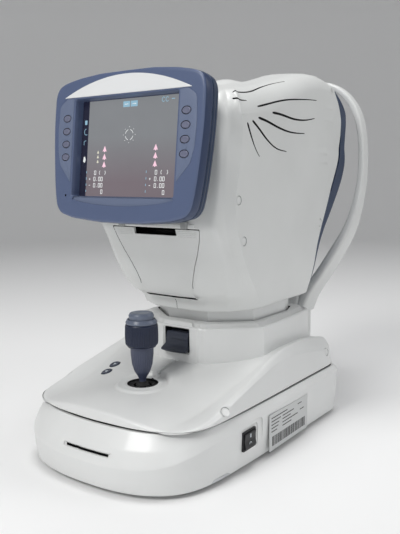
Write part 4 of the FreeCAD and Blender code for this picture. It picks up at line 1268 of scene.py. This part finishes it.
# fine seam down the chin, then the shell splits into halves
boolean(shell, box("cut", (-0.25, 0.25), (-130, -60), (150, 177), "gap", r=0.05, seg=1))
left = shell.copy()
left.data = shell.data.copy()
left.name = left.data.name = "head_shell_left_half"
SCENE.collection.objects.link(left)
boolean(shell, half_space(0.0, 200), "INTERSECT")
boolean(left, half_space(-200, 0.0), "INTERSECT")
shell.name = "head_shell_right_half"
for half, replaced in ((shell, "head_shell_right"), (left, "head_shell_left")):
    clean(half, sharp=48)
    assign(half, "head", "body_white", replaced)

# strip between the display and the printer cover, with two tongues
box("head_front_strip", (-58, 58), (-117.5, -108), (263.2, 268.4), "white", r=1.2,
    fit=("head", "body_white"))
# the tongues are in the darker grey: painted shade
for side, letter in SIDES:
    box("front_tongue_" + letter, (46 * side - 4, 46 * side + 4), (-121.0, -110),
        (262.8, 271), "white_in_shade", r=1.0, fit=("head", "body_white"))
ROLL_CENTRE = (0, -70, 222)
roll = lathe("paper_roll_body", rod(22, -28.5, 28.5, 0.3), ROLL_CENTRE, "paper", 72, "x",
             sharp=40)
boolean(roll, lathe("cut", rod(6.5, -40, 40), ROLL_CENTRE, "powder", 40, "x"))
assign(roll, "paper_roll", "paper", "paper_roll")

# ------------------------------------------------------------------ display
# Its own frame: u along x, v up the tilted face, w out of the face towards the operator.
TILT = math.radians(6.79)
DISPLAY_ORIGIN = np.array([0, -166.7, 353.7])
DISPLAY_UP = np.array([0, math.sin(TILT), math.cos(TILT)])
DISPLAY_OUT = np.array([0, -math.cos(TILT), math.sin(TILT)])


def on_display(points):
    points = np.asarray(points, float)
    return (DISPLAY_ORIGIN + points[..., :1] * np.array([1.0, 0, 0])
            + points[..., 1:2] * DISPLAY_UP + points[..., 2:3] * DISPLAY_OUT)


def display_prism(name, outline, w0, w1, mat, seg, fit=None, edge=0.0, sharp=38):
    """Outline in (u, v) extruded from w0 to w1, rounded at w1 by edge."""
    loop = rounded(outline, *seg)
    rings = [at_height(loop, w0)]
    if edge > 0:
        out = outward(loop)
        for a in np.linspace(0, math.pi / 2, 5):
            rings.append(at_height(loop - out * edge * (1 - math.cos(a)),
                                   w1 - edge + edge * math.sin(a)))
    else:
        rings.append(at_height(loop, w1))
    return flat_ended(name, on_display(rings), mat, fit, sharp)


DISPLAY_N = 300
DISPLAY_HALF = [  # (u, v) of the right half, top to bottom
    (0, 81), (37, 80.8), (68, 78), (86, 74.8), (97, 71.8), (103.4, 66.5), (106.2, 57),
    (106.6, 40), (106.5, 22), (105.4, 3), (103.8, -17), (102, -36), (99.4, -54),
    (96.6, -66.5), (90, -74.0), (71.5, -78.8), (32, -82.2), (0, -82.7)]
display_loop = np.array(mirrored(DISPLAY_HALF), float)
display_loop = smooth_loop(resample(display_loop, DISPLAY_N), 4)
display_out = outward(display_loop)


def display_ring(inset, w):
    return at_height(display_loop - display_out * inset, w)


OPEN_HALF_U = 74              # screen opening
OPEN_LOW, OPEN_HIGH = -55, 55.4
OPEN_MID_V, OPEN_HALF_V = 0.2, 55.2


def opening_loop():
    """Screen opening, its points matched to the outline's by direction from the centre."""
    corners = [(0, OPEN_HIGH, 0.1), (OPEN_HALF_U, OPEN_HIGH, 1.5), (OPEN_HALF_U, OPEN_LOW, 1.5),
               (-OPEN_HALF_U, OPEN_LOW, 1.5), (-OPEN_HALF_U, OPEN_HIGH, 1.5)]
    dense = resample(resample(rounded(corners, 40, 8), DISPLAY_N), 1500)
    wanted = np.arctan2(display_loop[:, 1] / 82.0, display_loop[:, 0] / 106.0)
    found = np.arctan2(dense[:, 1] / 55.0, dense[:, 0] / 74.0)
    return np.array([dense[np.argmin(np.abs(np.angle(np.exp(1j * (found - a)))))]
                     for a in wanted])


def front_frame_rings():
    # (inset, w) round the outer flange
    rings = [display_ring(*pair) for pair in (
        (5.0, -13.4), (1.0, -13.6), (0.35, -13.3), (0.0, -12.6), (-0.25, -9), (-0.1, -5.2),
        (0.1, -2.7), (0.5, -1.3), (1.2, -0.45), (2.3, -0.08), (4.0, 0.0))]
    edge = rings[-1][:, :2]
    opening = opening_loop()
    for s in np.linspace(0, 1, 14)[1:]:
        rings.append(at_height(edge + (opening - edge) * s, 0.0))
    # bevelled lip and the wall down to the glass
    for inset, w in ((0.35, -0.1), (0.9, -0.9), (1.2, -6), (1.5, -12.6)):
        loop = opening.copy()
        loop[:, 0] *= (OPEN_HALF_U - inset) / OPEN_HALF_U
        loop[:, 1] = OPEN_MID_V + (loop[:, 1] - OPEN_MID_V) * (OPEN_HALF_V - inset) / OPEN_HALF_V
        rings.append(at_height(loop, w))
    return rings


KEY_U = 84.5
KEY_ROWS = (33.2, 18.7, 4.2, -10.3)
KEY_STEP = math.pi / 24


def key_hole(side, v):
    # the hole's walls take near-black: painted shade in the gap round each key
    return display_prism("cut", oval(side * KEY_U, v, 6.1, 4.25, KEY_STEP), -4, 4, "key_gap_shade",
                         (1, 1))


bezel = ring_solid("display_front_frame", on_display(front_frame_rings()), "display", None, 48)
# crescent ledge cut into the frame under the glass
LEDGE = ([(-70, -54.6, 0.5), (-71.5, -57.6, 0.6)]
         + [(u, -58.2 - 6.2 * (1 - (u / 73.0) ** 2), 30) for u in np.linspace(-58, 58, 7)]
         + [(73.5, -57.2, 0.6), (72.0, -54.6, 0.5)])
boolean(bezel, display_prism("cut", LEDGE, -1.5, 3.0, "keypad", (3, 4)))
# small round hole at the lower left
boolean(bezel, display_prism("cut", oval(-82, -53.5, 1.3, 1.3, math.pi / 10), -3, 3, "gap",
                             (1, 1)))
for side, _ in SIDES:
    for v in KEY_ROWS:
        boolean(bezel, key_hole(side, v))


def on_flank(face):
    """True for faces behind the front edge on the frame's outer sides."""
    place = np.array(face.center) / MM - DISPLAY_ORIGIN
    outer = abs(float(place[0])) > 93 or abs(float(place @ DISPLAY_UP)) > 69.5
    return float(place @ DISPLAY_OUT) < -0.9 and outer


# the frame's outer sides take a darker blue than its front: painted shade
paint(bezel, "display_flank_shade", on_flank)
clean(bezel, sharp=42)
assign(bezel, "display", "display_grey", "display_bezel")

KEYPAD = [  # (u, v, radius) on the right side
    (75.2, 54.5, 0.8), (84, 56.0, 6), (96.5, 48, 10), (98.2, 20, 30), (96.8, -4, 20),
    (92.5, -19.5, 8), (75.6, -38.5, 0.8)]
KEY_PROFILE = [  # (scale, w)
    (0.98, -3.0), (1.0, 0.1), (0.985, 0.65), (0.92, 1.05), (0.78, 1.15), (0.55, 0.98),
    (0.3, 0.88), (0.1, 0.86)]
key_loop = np.array(oval(0, 0, 5.35, 3.55, KEY_STEP))[::-1, :2]
for side, word in ((1, "right"), (-1, "left")):
    panel = display_prism("keypad_panel_" + word, [(side * u, v, r) for u, v, r in KEYPAD],
                          -0.8, 0.55, "keypad", (8, 8), edge=0.5)
    for v in KEY_ROWS:
        boolean(panel, key_hole(side, v))
    clean(panel, sharp=40)
    assign(panel, "display", "display_grey")
    for i, v in enumerate(KEY_ROWS):
        key = "display_key_%s_%d" % (word, i + 1)
        rings = [at_height(key_loop * scale + [side * KEY_U, v], w) for scale, w in KEY_PROFILE]
        loft(key + "_cap", on_display(rings), "key", (key, "key_grey", key), sharp=50)

# silver crescent strip above the screen
TRIM_HALF = 90.5
trim_us = [TRIM_HALF - 2 * TRIM_HALF * i / 28.0 for i in range(1, 28)]
trim = [(u, 56.2 + 20.6 * (1 - (abs(u) / TRIM_HALF) ** 2.0), 30) for u in trim_us]
display_prism("display_trim_strip", [(TRIM_HALF, 56.2, 0.4)] + trim + [(-TRIM_HALF, 56.2, 0.4)],
              -0.3, 0.75, "silver", (2, 2), ("display", "silver_trim", "display_trim"),
              edge=0.35, sharp=40)

# rear housing: (inset, w)
rings = [display_ring(*pair) for pair in (
    (6.0, -13.9), (1.4, -13.9), (0.7, -14.1), (0.1, -14.7), (-0.1, -16), (0.3, -18.4),
    (0.75, -18.8), (0.75, -19.4), (0.5, -19.8), (1.0, -22.5), (2.2, -25.2), (4.2, -27.2),
    (7.0, -28.3), (10.5, -28.6))]
edge = rings[-1][:, :2]
rings += [at_height(edge * (1 - s), -28.6) for s in np.linspace(0, 1, 12)[1:]]
loft("display_rear_housing", on_display(rings), "display_rear",
     ("display", "display_dark", "display_rear_shell"), sharp=50, cap_end=False)
bulge = display_prism("display_rear_bulge",
                      [(-72, -54, 8), (72, -54, 8), (68, 15, 8), (-68, 15, 8)],
                      -27.5, -34.6, "display_rear", (5, 6), ("display", "display_dark"))
for i in range(7):
    v = -46 + i * 6
    boolean(bulge, display_prism("cut", rect(-40, 40, v, v + 2.2, 1), -40, -33.0, "gap", (3, 4)))
clean(bulge, sharp=40)

LUG = [(-139, 378.5, 1), (-139, 391.5, 1), (-118, 390.5, 5.4), (-112.6, 385, 5.4),
       (-118, 379.5, 5.4)]
lugs = [prism("lug", LUG, "x", x0, x1, "display_rear", (4, 8))
        for x0, x1 in ((20.2, 28.3), (-28.3, -20.2))]
lugs.append(lathe("lug", rod(3, -35, 35, 0.4), (0, -118, 385), "steel", 32, "x"))
join("display_hinge_lugs", lugs, ("display", "display_dark"))

display_prism("lcd_glass", rect(-73.6, 73.6, -54.8, 55.2, 0.5), -20, -12.0, "lcd_dark", (4, 2),
              ("display", "screen", "lcd_panel"))
display_prism("lcd_picture_area", rect(-62.5, 66.5, -53.2, 53.4, 0.2), -12.05, -11.93, "lcd",
              (4, 2), ("display", "screen"))

# ------------------------------------------------------------------ symbols on the screen
symbols = []


def draw(outline, mat, n_arc=1):
    symbols.append(display_prism("symbol", outline, -11.95, -11.80, mat, (1, n_arc)))


def draw_bar(u0, v0, u1, v1, thick, mat):
    start, end = np.array([u0, v0], float), np.array([u1, v1], float)
    along = end - start
    along /= np.linalg.norm(along)
    across = np.array([-along[1], along[0]]) * thick / 2
    corners = (start - across, end - across, end + across, start + across)
    draw([(*corner, 0.05) for corner in corners], mat)


def draw_arc(u, v, ru, rv, start, step, sweep, count, thick, mat):
    """Arc of straight dashes, each spanning the angle sweep."""
    for j in range(count):
        a0 = start + j * step
        a1 = a0 + sweep
        draw_bar(u + ru * math.cos(a0), v + rv * math.sin(a0),
                 u + ru * math.cos(a1), v + rv * math.sin(a1), thick, mat)


def draw_text(text, u, v, h, mat):
    w = h * 0.55
    thick = h * 0.15
    dash = (0.1 * w, h / 2, 0.9 * w, h / 2)

    def bracket(way):
        side = w / 2 + way * w * 0.35
        return [(w / 2, h, side, h * 0.65), (side, h * 0.65, side, h * 0.35),
                (side, h * 0.35, w / 2, 0)]

    strokes = {
        "0": [(0, h, w, h), (w, h, w, h / 2), (w, h / 2, w, 0), (0, 0, w, 0),
              (0, 0, 0, h / 2), (0, h / 2, 0, h)],
        "-": [dash],
        "+": [dash, (w / 2, h * 0.25, w / 2, h * 0.75)],
        ".": [(w * 0.3, thick * 0.5, w * 0.3 + thick, thick * 0.5)],
        "(": bracket(-1), ")": bracket(1), " ": []}
    for i, sign in enumerate(text):
        left_u = u + i * h * 0.86
        for u0, v0, u1, v1 in strokes[sign]:
            draw_bar(left_u + u0, v + v0, left_u + u1, v + v1, thick, mat)


def draw_chevron(u, v, scale, mat):
    shape = [(0, 4.6), (3.4, -2.6), (1.5, -1.6), (0.55, -3.0), (-0.55, -3.0), (-1.5, -1.6),
             (-3.4, -2.6)]
    draw([(u + du * scale, v + dv * scale, 0.1) for du, dv in shape], mat)


# readouts at the lower left and right
for u in (-58.0, 30.5):
    for text, du, v in (("0 ( )", 8.0, -29.0), ("+ 0.00", 0.0, -36.0), ("- 0.00", 0.0, -43.0),
                        ("0", 19, -50.2)):
        draw_text(text, u + du, v, 4.3, "lcd_white")
    for v in (-28.0, -35, -42, -49):
        draw_bar(u - 4.2, v + 0.6, u - 4.2, v + 3.0, 0.7, "lcd_cyan")
for u in (-35.8, 37.5):
    for k in range(3):
        draw_chevron(u, -1.2 - k * 8.6, 0.92, "lcd_pink")
for k in range(3):
    draw_chevron(-45.8, -4.2 - k * 5.2, 0.5, "lcd_cream")
# dashed target ring with dots round it
TARGET_U, TARGET_V = -0.8, 14.0
for k in range(4):
    draw_arc(TARGET_U, TARGET_V, 5.6, 5.6, math.pi / 2 * k + 0.28, 0.17, 0.19, 6, 0.62,
             "lcd_white")
for k in range(8):
    u = TARGET_U + 8.6 * math.cos(math.pi / 4 * k)
    v = TARGET_V + 8.6 * math.sin(math.pi / 4 * k)
    draw_bar(u - 0.35, v, u + 0.35, v, 0.7, "lcd_white")
# status boxes and rings along the top
for u0, u1 in ((-11.5, -2.0), (-0.6, 9.0)):
    draw(rect(u0, u1, 44.2, 50.4, 0.3), "lcd_cyan", 2)
    draw_bar(u0 + 2, 47.2, u1 - 2, 47.2, 0.9, "lcd_white")
for u in (44.5, 49.5):
    draw_arc(u, 49, 2.0, 2.6, 0.6, 1.0, 1.0, 5, 0.6, "lcd_cyan")
draw_bar(55.5, 49.0, 59.5, 49.0, 0.8, "lcd_cyan")
# a column of icons beside the keys on each side
for u, lamp in ((68.6, "lcd_cream"), (-66.8, "lcd_cyan")):
    draw([(u - 1.6, 27.5, 0.8), (u + 1.6, 27.5, 0.8), (u + 1.9, 32.5, 0.8),
          (u - 1.9, 32.5, 0.8)], lamp, 3)
    draw_arc(u + 1.0, 19.5, 3.2, 3.6, 1.7, 0.7, 0.7, 5, 0.55, "lcd_cyan")
    draw_bar(u - 1.8, 4.6, u - 1.8, 9.0, 0.5, "lcd_cyan")
    draw_bar(u - 1.8, 9.0, u + 1.2, 9.6, 0.5, "lcd_cyan")
    draw([(u - 1.9, -14.0, 0.9), (u + 0.8, -15.6, 0.9), (u + 2.0, -12.0, 0.9),
          (u + 0.6, -8.0, 0.9), (u - 1.2, -9.2, 0.9)], "lcd_white", 4)
join("lcd_picture_symbols", symbols, ("display", "screen"))

# ------------------------------------------------------------------ headrest
BOW_PATH = np.array([  # x, y, z, depth along y, thickness; right foot to the top centre
    (44, 181, 122, 42, 17), (50.5, 183, 142, 43, 16.5), (60.5, 186, 160, 44, 16),
    (73.0, 192, 181, 43, 15.5), (86, 203, 209, 38.5, 15), (97.3, 218, 240, 31.5, 13.6),
    (104.6, 229.3, 280, 24, 11.8), (107.4, 236.2, 320, 21.5, 10.8),
    (107.4, 237, 345, 21, 10.2), (105.6, 236.6, 374, 21, 10), (98.6, 234.4, 407, 20.5, 10),
    (89.8, 232.8, 423, 20, 10), (76.5, 231.5, 437.5, 20, 10), (58, 231, 447.5, 20, 10),
    (36, 231, 451.4, 20, 10), (14, 231, 452, 20, 10), (0, 231, 452, 20, 10)], float)


def bow_rings():
    path = np.array(mirrored(BOW_PATH))
    s = arc_lengths(path[:, :3])
    path = spline(s, path, np.linspace(0, s[-1], 190))
    smooth_path(path, 6)
    tangents = unit(np.gradient(path[:, :3], axis=0))
    rings = []
    for station, tangent in zip(path, tangents):
        depthwise = np.array([0, 1.0, 0]) - tangent * tangent[1]
        depthwise /= np.linalg.norm(depthwise)
        thickwise = np.cross(tangent, depthwise)
        c, h = station[3] / 2, station[4] / 2
        section = rounded([(-c, -h * 0.80, h * 0.7), (0, -h * 1.0, 60), (c, -h * 0.80, h * 0.7),
                           (c, h * 0.80, h * 0.7), (0, h * 1.0, 60), (-c, h * 0.80, h * 0.7)],
                          4, 6)
        rings.append([station[:3] + depthwise * a + thickwise * b for a, b in section])
    return rings


bow_parts = [loft("headrest_bow", bow_rings(), "white", sharp=60),
             prism("pad_carrier", rect(-36, 36, 425, 450, 4, 3), "y", 226.5, 231.2, "white",
                   (5, 6))]
join("headrest_bow", bow_parts, ("root", "body_white", "headrest_frame"))
eye_marks = [box("eye_mark", (side * 105.0 - 1.0, side * 105.0 + 1.0), (226.9, 240.0),
                 (393.5, 394.5), "ink", r=0.2, seg=1) for side, _ in SIDES]
join("eye_level_marks", eye_marks, ("root", "black_plastic"))

# forehead pad: soft band with a rolled edge and a shallow hollow towards the patient
PAD_Y, PAD_Z = 237.3, 434.6
PAD_BACK_Y = 231.25           # flat back against the carrier


def pad_point(u, angle):
    """Point of the pad at u (-1 to 1 across it) and angle round its section."""
    end = max(0.0, (abs(u) - 0.90) / 0.10)
    fullness = math.sqrt(max(1e-4, 1 - end ** 2))
    half_z = 11.8 * (0.62 + 0.38 * fullness) * fullness ** 0.35
    half_y = 6.1 * (0.72 + 0.28 * fullness) * fullness ** 0.35
    cos, sin = math.cos(angle), math.sin(angle)
    z = PAD_Z + half_z * np.sign(sin) * abs(sin) ** (2 / 2.6)
    y = PAD_Y + half_y * np.sign(cos) * abs(cos) ** (2 / 2.6)
    if y > PAD_Y:
        y -= 1.7 * (1 - abs(u) ** 2) * (1 - ((z - PAD_Z) / half_z) ** 2)
    return 39.6 * u, max(y, PAD_BACK_Y), z - 0.8 * u * u


loft("forehead_pad_soft",
     [[pad_point(-1 + 2 * i / 60, 2 * math.pi * j / 22) for j in range(22)] for i in range(61)],
     "silicone", ("root", "pad_soft", "forehead_pad"), sharp=60)

# ------------------------------------------------------------------ chinrest
STEM_Y = 186
column_loop = rounded(rect(-44, 44, 160, 208, 7, 11), 8, 8)
column_out = outward(column_loop)
COLUMN_PROFILE = [  # (inset, z, radius)
    (3, 9, 0), (0.4, 9.4, 0.6), (0, 12, 3), (0, 146.5, 2.5), (1.2, 149.6, 2.0), (4, 150, 2),
    (13.0, 150, 0)]
column = loft("chinrest_column_shell",
              [at_height(column_loop - column_out * inset, z)
               for inset, z in rounded(COLUMN_PROFILE, 4, 5, closed=False)], "white", sharp=45)
boolean(column, lathe("cut", rod(9.4, 0, 90), (0, STEM_Y, 92), "gap", 48))
clean(column, sharp=42)
box("chinrest_foot", (-43.5, 43.5), (126.8, 163), (9.2, 55.8), "white", r=3.0, seg=5,
    fit=("root", "body_white"))
assign(column, "root", "body_white", "chinrest_column")
COLLAR_PROFILE = [(9.6, 149.6, 0.2), (14.0, 149.6, 0.3), (13.8, 151.8, 0.9),
                  (10.4, 152.4, 0.8), (9.6, 151.6, 0.4)]
ring_solid("chinrest_stem_collar",
           revolve(rounded(COLLAR_PROFILE, 2, 4), 64) + np.array([0, STEM_Y, 0]), "black",
           ("root", "black_plastic"), 45)
lathe("chinrest_stem", [(0, 125.5, 0), (8.9, 125.5, 0.6), (8.9, 249, 1), (0, 252, 0)],
      (0, STEM_Y, 0), "steel", 56, fit=("chinrest", "steel"))
prism("chinrest_arm", [(177.6, 250.2, 3.0), (212, 250.2, 3.0), (216, 258.2, 2.0),
                       (177.6, 258.2, 2.0)], "x", -9, 9, "white", (4, 5),
      fit=("chinrest", "body_white"))


def dish_z(x, y):
    """Floor of the chin cup: a trough along y, rising a little at both ends."""
    return 324 - np.sqrt(np.maximum(60.0 ** 2 - x ** 2, 0)) + 1.2 * ((y - 221) / 24.0) ** 2


def cup_rings():
    loop = rounded(rect(-38, 38, 197, 246, 9, 15), 12, 10)
    out = outward(loop)
    rings = [at_height(loop - out * inset, z) for inset, z in
             ((14, 258.2), (5, 258.2), (2.0, 258.8), (0.6, 260.0), (0.0, 261.6))]
    rim = np.maximum(np.minimum(dish_z(*loop.T) + 3.6, 273.5) - 1.2, 262.0)
    for t in (0.4, 0.8):
        rings.append(at_height(loop, 261.6 + (rim - 261.6) * t))
    for a in np.linspace(0, math.pi, 8):
        rings.append(at_height(loop - out * 1.5 * (1 - math.cos(a)), rim + 1.2 * math.sin(a)))
    inner = loop - out * 3.0
    for i, s in enumerate(np.linspace(0.08, 1, 14)):
        ring = shrink(inner, 221.0, 0.02, 0.02, s)
        z = dish_z(*ring.T) + (1.6 if i == 0 else 0.0)
        rings.append(at_height(ring, np.maximum(z, 262.2)))
    return rings


loft("chinrest_cup", cup_rings(), "white", ("chinrest", "body_white", "chinrest"), sharp=50)
for side, letter in SIDES:
    lathe("chinrest_paper_pin_" + letter,
          [(0, 0, 0), (1.7, 0, 0.1), (1.7, 9.2, 1.2), (0, 10.2, 0)], (side * 32.5, 222, 268),
          "alu", 24, fit=("chinrest", "aluminium"))


def paper_sheet(k):
    """Thin curved sheet number k, with slightly lifted ends."""
    outline = rounded(rect(-29.5, 29.5, 205, 239, 3), 12, 5)
    centre = np.array([0, 222.0])
    shift = (k - 2) * 0.12

    def face_ring(scale, offset):
        loop = centre + (outline - centre) * scale + [shift, -shift]
        lift = (0.5 * np.clip((np.abs(loop[:, 0]) - 22) / 8, 0, 1) ** 2
                * (1 + 0.3 * math.sin(k * 2.1)))
        return at_height(loop, dish_z(*loop.T) + 0.35 + k * 0.34 + lift + offset)

    scales = (1.0, 0.995, 0.75, 0.5, 0.25, 0.02)
    rings = [face_ring(scale, -0.13) for scale in reversed(scales)]
    rings += [face_ring(scale, 0.13) for scale in scales]
    return loft("sheet", rings, "paper", sharp=60)


join("chin_paper_sheets", [paper_sheet(k) for k in range(5)],
     ("chinrest", "paper", "chin_papers"))

# ------------------------------------------------------------------ rubber feet
FEET = ((98, -180, 10), (-98, -180, 10), (98, 88, 10), (-98, 88, 10), (34, 196, 7),
        (-34, 196, 7))        # (x, y, radius)


def rubber_foot(x, y, r):
    profile = [(0, 0.0, 0), (r * 0.55, 0.0, 0.4), (r * 0.6, 0.7, 0.3), (r * 0.8, 0.7, 0.3),
               (r * 0.85, 0, 0.3), (r * 0.97, 0.0, 0.6), (r, 1.4, 0.8), (r * 0.9, 6, 0.4),
               (0, 6, 0)]
    return lathe("foot", profile, (x, y, 0), "rubber", 40)


join("rubber_feet_pads", [rubber_foot(*foot) for foot in FEET],
     ("root", "rubber", "rubber_feet"))

# ------------------------------------------------------------------ CAD parts kept as they are
KEPT_PARTS = {
    "steel": ("base_chassis", "gear_racks", "chin_lift_screw", "cross_rails", "pinion_axle",
              "lift_guide_rods", "lift_screw"),
    "black": ("friction_pad", "card_reader", "chin_lift_motor", "lift_motor",
              "camera_module", "print_mechanism"),
    "powder": ("power_supply", "display_bracket"),
    "alu": ("cross_carriage", "stage_chassis", "joystick_gimbal", "optical_bench",
            "objective_barrel"),
    "white_base": ("head_neck",),
    "glass": ("objective_lens",),
    "green": ("main_board",),
    "rubber": ("platen_roller",)}
for mat, parts in KEPT_PARTS.items():
    for part in parts:
        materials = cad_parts[part].data.materials
        materials.clear()
        materials.append(MAT[mat])

# ------------------------------------------------------------------ floor (metres from here on)
FLOOR_N = 96
FLOOR_R, SWEEP_R = 2.4, 1.3   # flat disc, and the radius of the sweep up to its wall


def make_floor():
    """Round floor that sweeps up into a low wall."""
    profile = [(0.6, 0.0), (1.4, 0.0), (FLOOR_R, 0.0)]
    profile += [(FLOOR_R + SWEEP_R * math.sin(a), SWEEP_R - SWEEP_R * math.cos(a))
                for a in np.linspace(0.1, math.pi / 2, 12)]
    profile.append((3.7, 1.9))
    turns = [2 * math.pi * j / FLOOR_N for j in range(FLOOR_N)]
    verts = [(0, 0, 0)] + [(r * math.cos(a), r * math.sin(a), z)
                           for r, z in profile for a in turns]
    faces = [(0, 1 + j, 1 + (j + 1) % FLOOR_N) for j in range(FLOOR_N)]
    faces += [tuple(1 + v for v in (a, d, c, b))
              for a, b, c, d in grid_faces(len(profile), FLOOR_N)]
    mesh = bpy.data.meshes.new("floor")
    mesh.from_pydata(verts, [], faces)
    mesh.polygons.foreach_set("use_smooth", np.ones(len(faces), bool))
    floor = bpy.data.objects.new("floor", mesh)
    SCENE.collection.objects.link(floor)
    material, tree, shader = new_material("pale_floor")
    set_inputs(tree, shader, {
        "Base Color": (0.90, 0.90, 0.90, 1),
        "Roughness": map_range(tree, noise(tree, None, scale=3.0), 0.86, 0.94),
        "Specular IOR Level": 0.1})
    mesh.materials.append(material)


make_floor()


# ------------------------------------------------------------------ lights and world
def area_light(name, location, target, size, power, colour=(1, 1, 1)):
    light = bpy.data.lights.new(name, "AREA")
    light.shape = "RECTANGLE"
    light.size, light.size_y = size
    light.energy = power
    light.color = colour
    obj = bpy.data.objects.new(name, light)
    SCENE.collection.objects.link(obj)
    obj.location = location
    aim_line = Vector(target) - Vector(location)
    obj.rotation_euler = aim_line.to_track_quat("-Z", "Y").to_euler()


area_light("key_softbox", location=(-0.25, -1.7, 1.75), target=(0, -0.05, 0.25),
           size=(0.8, 0.8), power=24, colour=(1.0, 0.995, 0.98))
area_light("fill_softbox", location=(1.5, -1.4, 0.8), target=(0, 0, 0.25),
           size=(1.2, 1.0), power=3.4, colour=(0.95, 0.98, 1.0))
area_light("right_softbox", location=(1.5, 1.0, 1.4), target=(0.05, 0, 0.25),
           size=(0.7, 1.0), power=6.0)
area_light("top_softbox", location=(0.05, 0.1, 2.1), target=(0, 0, 0.3),
           size=(1.0, 1.0), power=19)
world = bpy.data.worlds.new("studio")
SCENE.world = world
world.use_nodes = True
set_inputs(world.node_tree, world.node_tree.nodes["Background"],
           {"Color": (0.95, 0.97, 1.0, 1), "Strength": 0.17})

# ------------------------------------------------------------------ camera
CAMERA_PLACE = (0.4943, -0.7136, 0.3267)
YAW, PITCH, ROLL = math.radians(35.68), math.radians(8.12), math.radians(-0.58)
view = Vector((-math.sin(YAW) * math.cos(PITCH), math.cos(YAW) * math.cos(PITCH),
               -math.sin(PITCH)))
level_right = view.cross(Vector((0, 0, 1))).normalized()
level_up = level_right.cross(view)
right = math.cos(ROLL) * level_right + math.sin(ROLL) * level_up
up = -math.sin(ROLL) * level_right + math.cos(ROLL) * level_up
camera = bpy.data.cameras.new("camera")
camera_obj = bpy.data.objects.new("camera", camera)
SCENE.collection.objects.link(camera_obj)
camera.sensor_fit = "AUTO"
camera.sensor_width = 36.0
camera.lens = 45.47191
camera.clip_start = 0.01
camera.clip_end = 100
camera_obj.matrix_world = Matrix([*zip(right, up, -view, CAMERA_PLACE), (0, 0, 0, 1)])
SCENE.camera = camera_obj
SCENE.view_settings.view_transform = "Standard"
SCENE.view_settings.look = "None"
